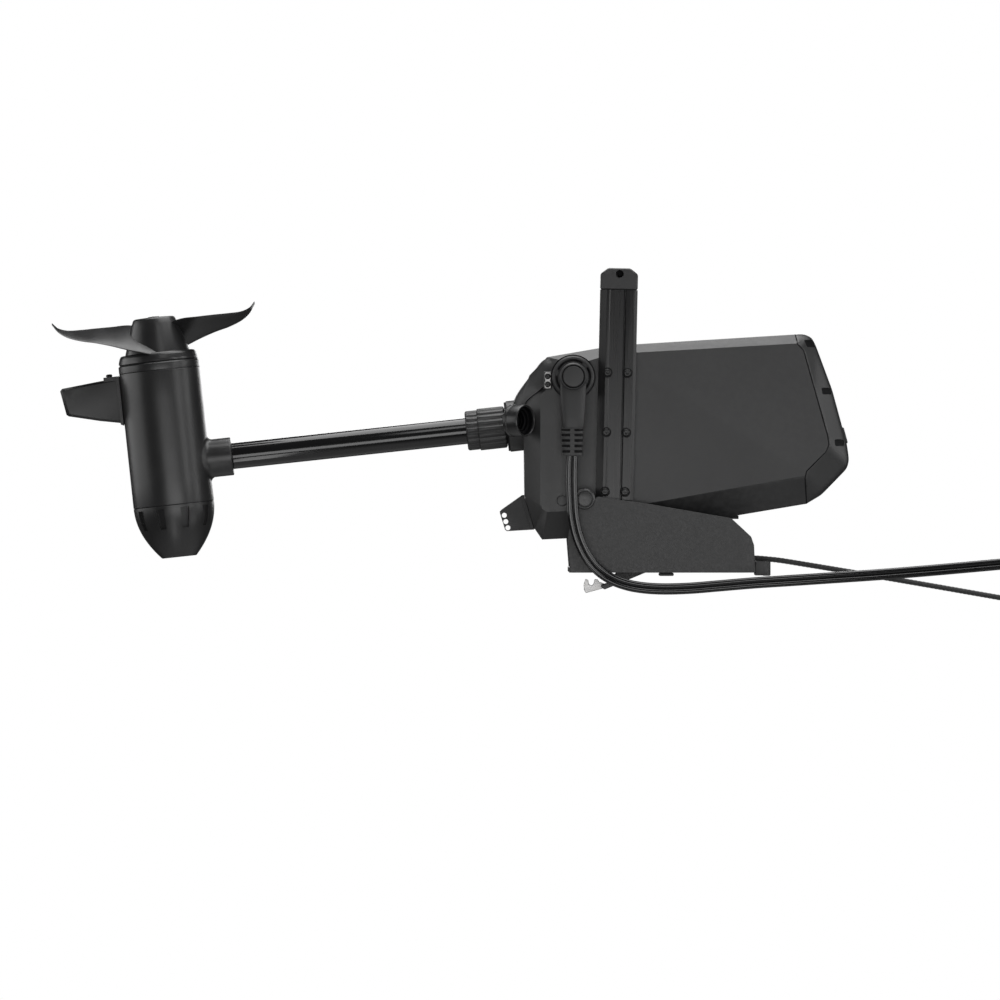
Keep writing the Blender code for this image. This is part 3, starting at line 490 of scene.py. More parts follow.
def cable_jacket():
    """PVC jacket of the twin lead, a little glossier than the rubber."""
    look = Look("cable_jacket", 0.28)
    look.tones(look.noise(18, 5), grey(0.005), grey(0.008))
    look.rough(look.noise(7, 6), 0.11, 0.15)
    look.bump((look.noise(8, 2), 0.012), (look.noise(0.6, 2), 0.002))
    return look.material


def rope_fibre():
    look = Look("rope_fibre", 0.78, specular=0.3)
    look.shader.inputs["Sheen Weight"].default_value = 0.35
    look.shader.inputs["Sheen Roughness"].default_value = 0.5
    look.tones(look.noise(0.45, 3, (0.35, 1, 1)), grey(0.012), grey(0.034))
    look.rough(look.noise(2, 4), 0.7, 0.88)
    look.bump((look.noise(0.3, 2, (0.4, 1, 1)), 0.05))
    return look.material


def black_oxide():
    look = Look("black_oxide", 0.34, 0.6)
    look.tones(look.noise(2, 5), grey(0.012), grey(0.020), 0.4, 0.12)
    look.rough(look.noise(1.5, 5), 0.26, 0.42)
    look.bump((look.noise(0.5, 2), 0.01))
    return look.material


def brushed_steel(name="brushed_stainless", shade=0.34, stretch=(0.02, 1, 1), rough=(0.30, 0.44)):
    look = Look(name, 0.3, 1.0)
    lines = look.noise(0.5, 4, stretch)
    base = look.mix(look.spread(lines, 0, 1), grey(shade * 0.86), grey(shade))
    look.tones(look.noise(12, 6), base, grey(shade * 0.92, 0.02))
    look.rough(look.noise(0.7, 5, stretch), *rough)
    look.bump((lines, 0.008))
    return look.material


def machined_brass():
    look = Look("machined_brass", 0.3, 1.0)
    look.tones(look.noise(8, 6), (0.60, 0.42, 0.17), (0.70, 0.52, 0.25))
    look.rough(look.noise(1.2, 5), 0.24, 0.4)
    look.bump((look.noise(0.4, 3), 0.008))
    return look.material


def enamelled_copper():
    look = Look("enamelled_copper", 0.34, 0.9)
    wires = look.noise(0.9, 2, (1, 1, 0.04))
    look.tones(wires, (0.30, 0.11, 0.04), (0.55, 0.24, 0.10))
    look.rough(look.noise(3, 4), 0.25, 0.45)
    look.bump((wires, 0.12))
    return look.material


def coated_laminate():
    look = Look("coated_laminate", 0.35)
    traces = look.spread(look.noise(4, 1, distortion=2.0), 0, 1, 0.49, 0.51)
    look.colour(look.mix(traces, (0.010, 0.070, 0.030), (0.018, 0.120, 0.050)))
    look.rough(look.noise(3, 4), 0.3, 0.45)
    look.bump((traces, 0.04))
    return look.material


LOOKS = {
    "matte_black_plastic": moulded_plastic(),
    "black_rubber": rubber(),
    "rope_fibre": rope_fibre(),
    "painted_black": powder_coat(),
    "gloss_black_shaft": gloss_composite(),
    "black_anodised": anodised(),
    "black_screws": black_oxide(),
    "stainless": brushed_steel(),
    "brass": machined_brass(),
    "copper_windings": enamelled_copper(),
    "board_laminate": coated_laminate(),
}
MOTTLED = mottled_plastic()
JACKET = cable_jacket()
SMOOTH_MOULDING = moulded_plastic("smooth_moulding", 0.0115, 0.0145, 0.012, (0.28, 0.36))
SOFT_MOULDING = moulded_plastic("soft_moulding", 0.013, 0.0165, 0.012, (0.50, 0.58))
# Painted shade: a near-black, barely reflective material for pieces that stand in for the shade in joints,
# grooves, pockets and bores.
PAINTED_SHADE = rubber("painted_shade", 0.08, 0.002, 0.003)
MATTE_COAT = powder_coat("matte_coat", 0.009, (0.5, 0.56))


# ---- camera ----

CAMERA_AIM = Vector((-176.6, 0, 79.2)) * MM
CAMERA_DISTANCE = 7.64
CAMERA_LENS = 250


def make_camera():
    data = bpy.data.cameras.new("camera")
    data.lens = CAMERA_LENS
    data.clip_end = 100
    camera = bpy.data.objects.new("camera", data)
    camera.location = CAMERA_AIM - Vector((0, CAMERA_DISTANCE, 0))
    camera.rotation_euler = (math.pi / 2, 0, 0)
    bpy.context.scene.collection.objects.link(camera)
    bpy.context.scene.camera = camera


# ---- cords ----

# The power cable leaves the strain relief downwards, turns under the base and runs off to the battery.
CABLE_ROUTE = mm(
    (-98.1, -86, 127), (-98.6, -86, 112), (-98.6, -86, 96), (-98, -86, 80), (-96.8, -85.8, 62),
    (-93.2, -85.4, 44), (-87.4, -85, 28), (-79, -84.6, 13.4), (-68, -84.2, 1.6), (-54, -84, -7.4),
    (-38, -84, -13.2), (-20, -84, -16.4), (2, -84, -17.6), (30, -84, -16.8), (62, -84, -14.2),
    (100, -84, -11), (140, -84, -8.4), (185, -84, -5.4), (235, -84, -2), (285, -84, 2), (335, -84, 6.4),
    (386, -84, 11),
)
# The release rope runs from the lever along the inside of the base, over the guide, and off beside the cable.
ROPE_ROUTE = mm(
    (0.2, -29, 14.6), (14, -29, 15), (32, -29, 15.2), (52, -29, 15.4), (72, -29, 15.8), (90, -29, 15.7),
    (104, -29, 15.5), (116, -29.4, 14.6), (132, -30, 12.8), (160, -31, 8.3), (195, -32, 2.5),
    (235, -33, -4.2), (280, -34, -11.9), (330, -35, -20.6), (386, -36, -30.4),
)
LEAD_WIDTH = 12.4
CORE_RADIUS = 3.15
WEB_HALF = 0.9
ROPE_RADIUS = 3.0


def twin_lead_section(_):
    """Two round cores side by side, joined by a thinner web."""
    offset = LEAD_WIDTH / 2 - CORE_RADIUS
    limit = math.pi - math.asin(WEB_HALF / CORE_RADIUS)
    angles = [limit * (2 * k / 14 - 1) for k in range(15)]
    right = [(offset + CORE_RADIUS * math.cos(a), CORE_RADIUS * math.sin(a)) for a in angles]
    left = [(-u, -v) for u, v in right]
    return right + left


def make_power_cable():
    route = smooth_route(CABLE_ROUTE, 3 * MM)
    cable = to_object("power_cable_lead", swept(route, twin_lead_section), sharp=70)
    cable = dress(cable, JACKET)
    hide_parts("power_cable")
    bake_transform(cable)
    connector = make_battery_connector()


def make_battery_connector():
    """The two-pole connector on the lead's end, with a grip of cross ribs."""
    end = Vector(CABLE_ROUTE[-1])
    slope = end - Vector(CABLE_ROUTE[-2])
    place = Matrix.Translation(end) @ Matrix.Rotation(-math.atan2(slope.z, slope.x), 4, "Y")
    cutters = []
    for k in range(6):
        for side in (-1, 1):
            groove = box_mesh((14 + 3 * k, 15.4 + 3 * k), sorted((side * 7.2, side * 10)), (-9, 9))
            cutters.append(to_object(f"grip_{k}_{side}", groove, place))
    for z in (-6.5, 6.5):
        mouth = box_mesh((34, 50), (-4.5, 4.5), (z - 4.6, z + 4.6))
        cutters.append(to_object("mouth", mouth, place))
    return refine("battery_connector", 0.5, 2, cutters=cutters)


def make_pull_rope():
    """A round braid: two sets of strands cross on the surface."""
    step = 0.62
    strands = 4
    cell = 4.6
    route = smooth_route(ROPE_ROUTE, step * MM)

    def section(i):
        along = math.pi * i * step / cell
        points = []
        for angle in turn_angles(48):
            weave = math.cos(strands * angle + along) * math.cos(strands * angle - along)
            reach = ROPE_RADIUS * (0.93 + 0.07 * weave)
            points.append((reach * math.cos(angle), reach * math.sin(angle)))
        return points

    rope = stand_for(to_object("pull_rope_braid", swept(route, section), sharp=80), "pull_rope")
    handle = make_pull_handle()


def make_pull_handle():
    profile = [(0, -38), (5, -38), (8, -36)]
    for k in range(25):
        height = -32 + 64 * k / 24
        grip = 0.55 * math.cos(2 * math.pi * height / 16)
        profile.append((8.6 + grip + 0.8 * abs(height / 32) ** 3, height))
    profile += [(8, 36), (5, 38), (0, 38)]
    end = Vector(ROPE_ROUTE[-1])
    slope = (end - Vector(ROPE_ROUTE[-2])).normalized()
    place = Matrix.Translation(end + slope * 9.2 * MM) @ TO_FAR
    handle = to_object("pull_handle_grip", lathe(profile, 48, closed=False), place)
    return stand_for(handle, "pull_handle")


# ---- base ----

PLATE_OUTLINE = [
    (-101.8, 0), (101.8, 0), (100.4, 30.1), (97.1, 39.3), (75.4, 59.4), (-17.7, 75.5), (-71.7, 83.2),
]


def arc(centre, radius, first, last, steps):
    angles = [math.radians(first + (last - first) * k / steps) for k in range(steps + 1)]
    return [(centre[0] + radius * math.cos(a), centre[1] + radius * math.sin(a)) for a in angles]


PLATE_END = 101.8
PLATE_BEND_START = 80
PLATE_BEND = 5.5


def curve_end(plate, side):
    """Bends the plate's rear end inwards."""
    for x in range(PLATE_BEND_START, 100, 3):
        geometry = plate.verts[:] + plate.edges[:] + plate.faces[:]
        bmesh.ops.bisect_plane(plate, geom=geometry, plane_co=(x * MM, 0, 0), plane_no=(1, 0, 0))
    for vertex in plate.verts:
        past = max(0.0, vertex.co.x / MM - PLATE_BEND_START) / (PLATE_END - PLATE_BEND_START)
        vertex.co.y -= side * PLATE_BEND * past**2 * MM
    return plate


def make_side_plates():
    crown = arc((PIVOT.x / MM, PIVOT.z / MM), 11, 50, 170, 20)
    outline = fillet(PLATE_OUTLINE, 3, 5) + crown + [(-102.9, 35.6)]
    for node, side in (("side_plate_near", -1), ("side_plate_far", 1)):
        low, high = sorted((side * 71, side * PLATE_REACH))
        plate = to_object(node + "_moulding", curve_end(slab(outline, low, high), side), sharp=30)
        bore = lathe([(6.1, -90), (6.1, 90)], 64, closed=False)
        hole = to_object("hole", bore, Matrix.Translation(PIVOT) @ TO_FAR)
        stand_for(round_edges(plate, 1.1, 4, 40, [hole]), node, MOTTLED)


def make_pivot_caps():
    """A dished cap with a raised button and a rim."""
    profile = fillet(
        [(6.4, 0.3), (11.4, 0.3), (11.4, 2.4), (10.2, 3.5), (9.2, 3.5), (8.7, 2.6), (8.0, 2.6), (7.6, 4.2),
         (0, 4.5), (0, 2.4), (6.4, 2.4)],
        0.35, 3,
    )
    profile = [(radius, height + PLATE_REACH) for radius, height in profile]
    for node, turn in (("pivot_cap_near", TO_NEAR), ("pivot_cap_far", TO_FAR)):
        cap = lathe(profile, 80)
        bmesh.ops.remove_doubles(cap, verts=cap.verts, dist=1e-6)
        stand_for(to_object(node + "_fine", cap, Matrix.Translation(PIVOT) @ turn), node)


def make_deck_screws():
    """Four button-head screws hold the base down."""
    for number, (x, y) in enumerate(((20, -52), (20, 52), (88, -52), (88, 52)), 1):
        screw = to_object(f"deck_screw_{number}", socket_screw(4.6, 2.4, 1.6), at(x, y, 6.3))
        belong(screw, "base_plate", slot="stainless")


def make_lever_spring():
    """The close turns of a torsion spring on the lever's pin."""
    turns = 6
    wire = 1.0
    radius = 9.4
    low = 15
    length = 14
    steps = turns * 24
    points = []
    for k in range(steps + 1):
        angle = 2 * math.pi * k / 24
        points.append(Vector((radius * math.cos(angle), radius * math.sin(angle), low + length * k / steps)))
    rings = []
    for i, point in enumerate(points):
        along = (points[min(i + 1, steps)] - points[max(i - 1, 0)]).normalized()
        out = Vector((point.x, point.y, 0)).normalized() * wire
        side = along.cross(out)
        rings.append([(point + out * math.cos(a) + side * math.sin(a)) * MM for a in turn_angles(10)])
    spring = to_object("lever_spring_coil", rings_mesh(rings), Matrix.Translation(LEVER_PIVOT) @ TO_FAR)
    stand_for(spring, "lever_spring")


def make_base():
    make_side_plates()
    make_pivot_caps()
    make_deck_screws()
    make_lever_spring()
    refine("base_plate", 0.9)
    refine("rear_wall", 0.8)
    flange = to_object("flange", box_mesh((77.2, 90), (-40, 40), (40, 70)))
    refine("rest_bracket", 0.9, cutters=[flange])
    refine("rest_bumper", 0.8)
    refine("rope_guide", 1.2, 4)
    refine("mount_key", 0.5, 2)
    refine("release_lever", 1.2, 4)
    refine("lock_hook", 0.6, 3)


# ---- head ----

# The clip pockets in the end cap, each with a near-black block of painted shade in it, as (x, z, length,
# width).
CLIPS = ((162.5, 250.5, 14, 9), (180.5, 198.3, 14, 7.4), (194.5, 141.8, 14, 7.4))
CLIP_CORNER = 2.0


def clip(tree, x, z, length, width, side, low, high):
    """A rounded level block in the end cap's surface at (x, z) on one side, from low to high across it."""
    place, normal, _, _ = tree.ray_cast(Vector((x * MM, side * 0.2, z * MM)), Vector((0, -side, 0)))
    if normal.y * side <= 0:
        normal = -normal
    along = Vector((-normal.y, normal.x, 0)).normalized() * -side
    across = normal.cross(along)
    turn = Matrix((along, across, normal)).transposed().to_4x4()
    end = length / 2
    flank = width / 2
    outline = fillet([(-end, -flank), (end, -flank), (end, flank), (-end, flank)], CLIP_CORNER, 5)
    block = rings_mesh([mm(*((u, v, height) for u, v in outline)) for height in (low, high)])
    return to_object("clip", block, Matrix.Translation(place) @ turn)


# The joint between the electronics housing and the end cap.
CAP_SEAM = (
    (146.4, 266), (146.4, 260.5), (148.5, 249.4), (155, 242.4), (181.2, 149.1), (182.7, 139.8),
    (179.6, 132.1), (158.1, 110.6), (156.5, 102.7), (158.8, 76.6), (158.8, 68),
)
SEAM_WIDTH = 1.2
SEAM_LIFT = 0.12


def make_cap_seam_shade():
    """A near-black band of painted shade all along the end cap's joint."""
    left = []
    right = []
    for i, (x, z) in enumerate(CAP_SEAM):
        before = Vector(CAP_SEAM[max(i - 1, 0)])
        after = Vector(CAP_SEAM[min(i + 1, len(CAP_SEAM) - 1)])
        step = (after - before).normalized() * SEAM_WIDTH / 2
        left.append((x + step.y, z - step.x))
        right.append((x - step.y, z + step.x))
    for node in ("electronics_housing", "end_cap"):
        shell = cad_copy(node)
        swell = shell.modifiers.new("swell", "DISPLACE")
        swell.strength = SEAM_LIFT * MM
        swell.mid_level = 0
        band = to_object("band", slab(left + right[::-1], -70, 70))
        cut_out(shell, [band], "INTERSECT")
        settle(shell, [band])
        shell.name = f"seam_shade_{node}"
        belong(shell, "end_cap", PAINTED_SHADE, "black_rubber")


def seam_distance(point):
    """How far a point is from the end cap's joint, in metres, seen from the side."""
    flat = Vector((point.x, point.z))
    nearest = 1.0
    for first, second in zip(CAP_SEAM, CAP_SEAM[1:]):
        start = Vector(first) * MM
        end = Vector(second) * MM
        share = min(1.0, max(0.0, (flat - start).dot(end - start) / (end - start).length_squared))
        nearest = min(nearest, (flat - start.lerp(end, share)).length)
    return nearest


CAP_GRID = 1.1
CAP_SMOOTHING = 110
SEAM_KEPT = 1.5
SEAM_BLEND = 9


def soft_end_cap():
    """The end cap with every edge but the one at its joint rounded off."""
    cap = cad_copy("end_cap")
    grid = cap.modifiers.new("grid", "REMESH")
    grid.mode = "VOXEL"
    grid.voxel_size = CAP_GRID * MM
    settle(cap)
    free = cap.vertex_groups.new(name="free")
    for vertex in cap.data.vertices:
        share = (seam_distance(vertex.co) / MM - SEAM_KEPT) / SEAM_BLEND
        free.add([vertex.index], min(1.0, max(0.0, share)), "REPLACE")
    soften = cap.modifiers.new("soften", "SMOOTH")
    soften.factor = 0.5
    soften.iterations = CAP_SMOOTHING
    soften.vertex_group = "free"
    return settle(cap)


def make_end_cap():
    cap = soft_end_cap()
    mesh = cap.data
    tree = BVHTree.FromPolygons([v.co for v in mesh.vertices], [p.vertices for p in mesh.polygons])
    pockets = [clip(tree, *row, side, -3.2, 6) for row in CLIPS for side in (-1, 1)]
    for number, (x, z, length, width) in enumerate(CLIPS, 1):
        for side, label in ((-1, "near"), (1, "far")):
            # Painted shade: a near-black block set into each pocket.
            pocket_shade = clip(tree, x, z, length + 0.2, width + 0.2, side, -3.6, -0.6)
            pocket_shade.name = f"cap_pocket_shade_{label}_{number}"
            belong(round_edges(pocket_shade, 0.6, 3, 40), "end_cap", PAINTED_SHADE, "black_rubber")
    cut_out(cap, pockets)
    settle(cap, pockets)
    cap.data.shade_smooth()
    cap.data.set_sharp_from_angle(angle=math.radians(50))
    stand_for(cap, "end_cap")
    make_cap_seam_shade()


def make_head():
    refine("steering_housing", 1.3, 3, 25)
    refine("electronics_housing", 1.3, 3, 22)
    make_end_cap()
    refine("power_button", 1.6, 4)
    plug = fillet([(0, -2), (6.2, -2), (6.2, 0.9), (5, 1.5), (0, 1.5)], 0.4, 3, closed=False)
    for name, side, turn in (("head_plug_near", -1, TO_NEAR), ("head_plug_far", 1, TO_FAR)):
        place = at(-108.7, side * HEAD_HALF, 78.5) @ turn
        belong(to_object(name, lathe(plug, 48, closed=False), place), "end_cap")
    make_joint_shades()
    make_fairing()


# The fairing that sweeps from the head's upper corner down to its neck: outer and inner edges as
# (x, z, half width), in millimetres.
FAIRING_OUTER = (
    (-122.5, 235.4, 45), (-130.6, 230.9, 44), (-139, 220.7, 41), (-148.4, 208.6, 36), (-156, 198.2, 30),
    (-160.6, 190, 25), (-162.3, 183, 22),
)
FAIRING_INNER = (
    (-117, 222, 58.3), (-121.6, 213.5, 58.4), (-127.5, 205.5, 58.4), (-134, 199, 57.6), (-141.4, 193.2, 51),
    (-147.6, 187.5, 45), (-151, 181, 41),
)


def make_fairing():
    rings = []
    for outer, inner in zip(finer(FAIRING_OUTER, 6), finer(FAIRING_INNER, 6)):
        hidden = inner.lerp(outer, 0.15)
        section = []
        for side in (-1, 1):
            flank = [(outer.x, side * (outer.z - 3), outer.y)]
            for k in range(1, 7):
                share = k / 7
                bulge = 2.2 * math.sin(math.pi * share)
                place = outer.lerp(inner, share)
                flank.append((place.x, side * (place.z + bulge), place.y))
            flank.append((inner.x, side * inner.z, inner.y))
            flank.append((hidden.x + 3, side * (hidden.z - 8), hidden.y - 3))
            section += flank if side < 0 else flank[::-1]
        rings.append(mm(*section))
    belong(to_object("neck_fairing", rings_mesh(rings), sharp=50), "steering_housing")


def make_joint_shades():
    """Thin near-black pieces of painted shade that fill the joints between parts that are bolted together."""
    foot = slab([(-150.2, 84.9), (-151.9, 84.2), (-139.2, 46.9), (-137.9, 47.8)], -13, 13)
    shade_piece("trim_joint_shade", foot, Matrix.Identity(4), "trim_plate")
    skeg = slab([(-45.5, 47), (-43.6, 47), (-43.6, 100), (-45.5, 100)], -6, 6)
    shade_piece("skeg_joint_shade", skeg, LOWER_UNIT, "skeg")
    neck = fillet([(19.8, 372.7), (26.4, 372.7), (27, 373.2), (27, 374.8), (19.8, 374.8)], 0.2, 2)
    shade_piece("neck_joint_shade", lathe(neck), SHAFT_AXIS, "steering_housing")
    shade_piece("bell_joint_shade", hoop(5.4, 42.9, BELL_HIGH - 0.1, BELL_HIGH + 1.1), LOWER_UNIT, "rear_bell")
    shade_piece("nose_joint_shade", hoop(41.4, 43.5, MOTOR_LOW - 0.5, MOTOR_LOW + 0.2), LOWER_UNIT, "motor_housing")
    rim = ((-19.5, -59), (19.5, -59), (19.5, -64), (-19.5, -64))
    arm = rings_mesh([mm(*((x, y, z) for x, y in rim)) for z in (228.5, 229.8)])
    shade_piece("arm_joint_shade", arm, ARM, "side_arm")


def hexagon(flat_radius):
    """The reach of a hexagon, by angle."""

    def reach(angle):
        inside = (angle + math.pi / 6) % (math.pi / 3) - math.pi / 6
        return flat_radius / math.cos(inside)

    return reach


def socket_screw(radius, height, socket, shank=None):
    """A button head with a hexagon socket, standing on z = 0, with a shank below it if asked."""
    rings = []
    if shank:
        rings += [(circle(shank[0]), -shank[1]), (circle(shank[0]), 0)]
    rings += [(circle(radius * 0.94), 0), (circle(radius), 0.08 * height)]
    for k in range(7):
        share = k / 6
        reach = radius - (radius - socket * 1.4) * (1 - math.cos(share * math.pi / 2))
        rings.append((circle(reach), height * (0.2 + 0.8 * math.sin(share * math.pi / 2))))
    rings += [(hexagon(socket), height - 0.02), (hexagon(socket * 0.97), height * 0.35)]
    rings.append((circle(0.02), height * 0.3))
    return shaped_lathe(rings, 48)


def make_arm():
    refine("side_arm", 0.45, 3, 20)
    refine("arm_end_cap", 0.5, 2, 25)
    # Painted shade: a near-black lining in the blind hole of the arm's end cap.
    recess_shade = lathe([(0, 60.4), (4.15, 60.4), (4.15, 66.6), (3.8, 66.8), (3.8, 61), (0, 61)], 48, closed=False)
    shade_piece("arm_cap_hole_shade", recess_shade, ARM @ at(0.5, 0, 246.7) @ TO_NEAR, "arm_end_cap")
    face = HEAD_HALF + 9.6
    spots = [(across, height) for height in (8.6, 73.4, 138.4) for across in (-10.6, 11.2)]
    for number, (across, height) in enumerate(spots, 1):
        place = ARM @ at(across, -face, height) @ TO_NEAR
        screw = to_object(f"arm_screw_{number}_fine", socket_screw(4.3, 2.6, 1.7, (2.4, 8.4)), place)
        stand_for(screw, f"arm_screw_{number}")
        # Painted shade: a near-black ring round each screw head.
        shade_piece(f"arm_screw_rim_shade_{number}", hoop(4.4, 5.4, -0.2, 0.15, 48), place, f"arm_screw_{number}")


KEEPER_X = -124.5
KEEPER_SCREWS = (205.2, 214.2)


def make_keeper():
    """A waisted plate beside the plug, with a screw at each end."""
    half = [(3.5, 201), (3.5, 207), (2.5, 209.7), (3.5, 212.4), (3.5, 218.4)]
    outline = [(KEEPER_X + u, z) for u, z in half] + [(KEEPER_X - u, z) for u, z in half[::-1]]
    keeper = to_object("plug_keeper_plate", slab(fillet(outline, 2.4, 6), -61.2, -59.7))
    holes = []
    for height in KEEPER_SCREWS:
        bore = lathe([(1.7, 50), (1.7, 70)], 32, closed=False)
        holes.append(to_object("hole", bore, at(KEEPER_X, 0, height) @ TO_NEAR))
    stand_for(round_edges(keeper, 0.3, 2, 40, holes), "plug_keeper")
    for number, height in enumerate(KEEPER_SCREWS, 1):
        place = at(KEEPER_X, -61.4, height) @ TO_NEAR
        screw = to_object(f"keeper_screw_{number}_fine", socket_screw(3.3, 1.7, 1.1, (1.3, 1.4)), place)
        stand_for(screw, f"keeper_screw_{number}")


def superellipse(half_width, half_depth, power=3.2, steps=56):
    """An outline between an ellipse and a rectangle."""

    def reach(share):
        return math.copysign(abs(share) ** (2 / power), share)

    return [(reach(math.cos(a)) * half_width, reach(math.sin(a)) * half_depth) for a in turn_angles(steps)]


def make_power_plug():
    """The right-angle plug: a locking ring, the elbow's cap, and the body that runs down to the ribs."""
    place = Matrix.Translation(SOCKET_CENTRE) @ TO_NEAR
    ring = fillet([(9, 50), (13.6, 50), (13.6, 58.4), (21, 58.4), (21, 64.6), (9, 64.6)], 0.5, 3)
    stand_for(to_object("power_socket_fine", lathe(ring), place), "power_socket")
    # Painted shade: near-black rings in the locking ring's groove and round the elbow's cap, and a painted
    # contact shadow where the socket meets the head.
    shade_piece("plug_groove_shade", hoop(16.6, 19.3, 67.4, 68.5), place, "power_plug")
    shade_piece("plug_cap_groove_shade", hoop(11.4, 12.7, 90, 91), place, "power_plug")
    shade_piece("plug_contact_shadow", hoop(21.4, 24.5, 58.2, 59.4), place, "power_socket")
    profile = fillet(
        [(0, 65), (23, 65), (23, 69.4), (21.4, 70.8), (19.4, 70.8), (18.8, 67.8), (17.2, 67.8), (16.6, 70.8),
         (15.4, 70.8), (15, 72), (15, 90.2), (13.6, 92.4), (12.8, 92.4), (12.6, 90.4), (11.5, 90.4),
         (11.1, 93.3), (0, 93.4)],
        0.5, 3, closed=False,
    )
    lugs = []
    for k in range(3):
        lug = box_mesh((-3.4, 3.4), (17.1, 19.3), (67.8, 70.5))
        lug.transform(Matrix.Rotation(math.radians(75 + 120 * k), 4, "Z"))
        lugs.append(lug)
    knob = merge(lathe(profile, closed=False), *lugs)
    knob.transform(place)
    centre = SOCKET_CENTRE.x / MM
    back = 76.8
    rings = []
    for height, half_width, front in (
        (213, 13.6, 87.6), (207, 14.1, 88.6), (198, 14.2, 90.6), (185, 13.7, 92.6), (170, 12.9, 94.2),
        (158.8, 12.2, 94.6), (157.4, 11.6, 94.1),
    ):
        middle = (front + back) / 2
        outline = superellipse(half_width, (front - back) / 2)
        rings.append(mm(*((centre + u, v - middle, height) for u, v in outline)))
    plug = to_object("power_plug_fine", merge(knob, rings_mesh(rings)), sharp=38)
    stand_for(plug, "power_plug", SOFT_MOULDING)
    make_strain_relief()


RELIEF_TOP = 157
RELIEF_BOTTOM = 127.3
RELIEF_ROWS = 5


def make_strain_relief():
    """Five ribs on a core, joined down the middle of each side by a narrow spine."""
    centre = SOCKET_CENTRE.x / MM - 1.2
    pitch = (RELIEF_TOP - RELIEF_BOTTOM) / RELIEF_ROWS

    def block(*levels):
        """A solid through levels of (height, half width, half depth)."""
        rings = []
        for height, half_width, half_depth in levels:
            outline = superellipse(half_width, half_depth)
            rings.append(mm(*((centre + u, v - CABLE_DEPTH, height) for u, v in outline)))
        return rings_mesh(rings)

    parts = []
    for row in range(RELIEF_ROWS):
        top = RELIEF_TOP - (row + 0.44) * pitch
        low = top - 0.56 * pitch
        half = 12.4 - 0.3 * row
        end = half - 0.6
        parts.append(block((top, end, 6.4), (top - 0.5, half, 7), (low + 0.5, half, 7), (low, end, 6.4)))
    parts.append(block((RELIEF_TOP - 0.4, 8.0, 3.2), (RELIEF_BOTTOM + 0.3, 7.0, 3.2)))
    spine_depth = (-CABLE_DEPTH - 6.8, -CABLE_DEPTH + 6.8)
    parts.append(box_mesh((centre - 2.3, centre + 2.3), spine_depth, (RELIEF_BOTTOM + 0.2, RELIEF_TOP - 0.3)))
    parts.append(block((RELIEF_BOTTOM + 2, 8.2, 5.2), (RELIEF_BOTTOM, 7.4, 4.6)))
    parts.append(block((RELIEF_TOP + 0.2, 11.6, 6.6), (RELIEF_TOP - 0.6, 11.6, 6.6)))
    stand_for(to_object("strain_relief_ribs", merge(*parts), sharp=35), "strain_relief", SOFT_MOULDING)
    # Painted shade: a near-black block behind the ribs, so the gaps between them read dark out to their ends.
    gap_shade = block((RELIEF_TOP - 0.6, 12.0, 4.3), (RELIEF_BOTTOM + 2.6, 10.8, 4.3))
    shade_piece("strain_relief_gap_shade", gap_shade, Matrix.Identity(4), "strain_relief")


PORT_STUB = Vector((-160.2, 0, 163.6)) * MM
PORT_MOUTH = Vector((-148.4, -69, 165.8)) * MM
PORT_FACING = math.radians(53.6)


def make_cable_port():
    """The stub out of the neck, and the open barrel it carries, stepped inside."""
    outward = Vector((math.sin(PORT_FACING), -math.cos(PORT_FACING), 0))
    turn = outward.to_track_quat("Z", "Y").to_matrix().to_4x4()
    barrel = fillet(
        [(0, -20.5), (15.4, -20.5), (17.6, -18.3), (17.6, -15), (17.1, -14.6), (17.1, -13.8), (17.6, -13.4),
         (17.6, -0.8), (17, 0),
         (16, 0), (15.5, -0.6), (15.5, -6), (12.6, -6.6), (12.4, -9), (10.6, -9.4), (10.2, -13), (9.4, -13.2),
         (9.2, -16), (0, -16)],
        0.45, 3, closed=False,
    )
    body = lathe(barrel, 96, closed=False)
    body.transform(Matrix.Translation(PORT_MOUTH) @ turn)
    stub = lathe(fillet([(0, 33.6), (8, 33.6), (8, 49), (9.5, 52), (0, 52)], 0.8, 5, closed=False), 64, False)
    stub.transform(Matrix.Translation(PORT_STUB) @ TO_NEAR)
    stand_for(to_object("cable_port_fine", merge(body, stub)), "cable_port", SMOOTH_MOULDING)
    # Painted shade: a near-black stepped lining inside the barrel's bore.
    recess_shade = lathe(
        [(0, -15.2), (2.6, -15.2), (3, -14.2), (4.6, -14.2), (5, -15.2), (9.1, -15.2), (9.1, -12.9),
         (10.1, -12.9), (10.1, -9.2), (12.3, -9), (12.3, -6.4), (15.4, -5.8), (15.4, -1.6), (15.1, -1.6),
         (15.1, -5.6), (11.9, -6), (11.9, -8.6), (9.7, -9.4), (9.7, -12.5), (8.7, -12.8), (8.7, -15.8),
         (0, -15.8)],
        64, closed=False,
    )
    recess_shade.transform(Matrix.Translation(PORT_MOUTH) @ turn)
    shade_piece("cable_port_bore_shade", recess_shade, Matrix.Identity(4), "cable_port")


def make_trim_plate():
    refine("trim_plate", 0.7, 3, 35, look=MATTE_COAT)


# ---- shaft, collar and motor ----

def fluted(radius, depth, ribs=20):
    """The reach round a ribbed grip: round ribs with sharper valleys between them."""

    def reach(angle):
        return radius - depth * (0.5 - 0.5 * math.cos(ribs * angle)) ** 1.6

    return reach


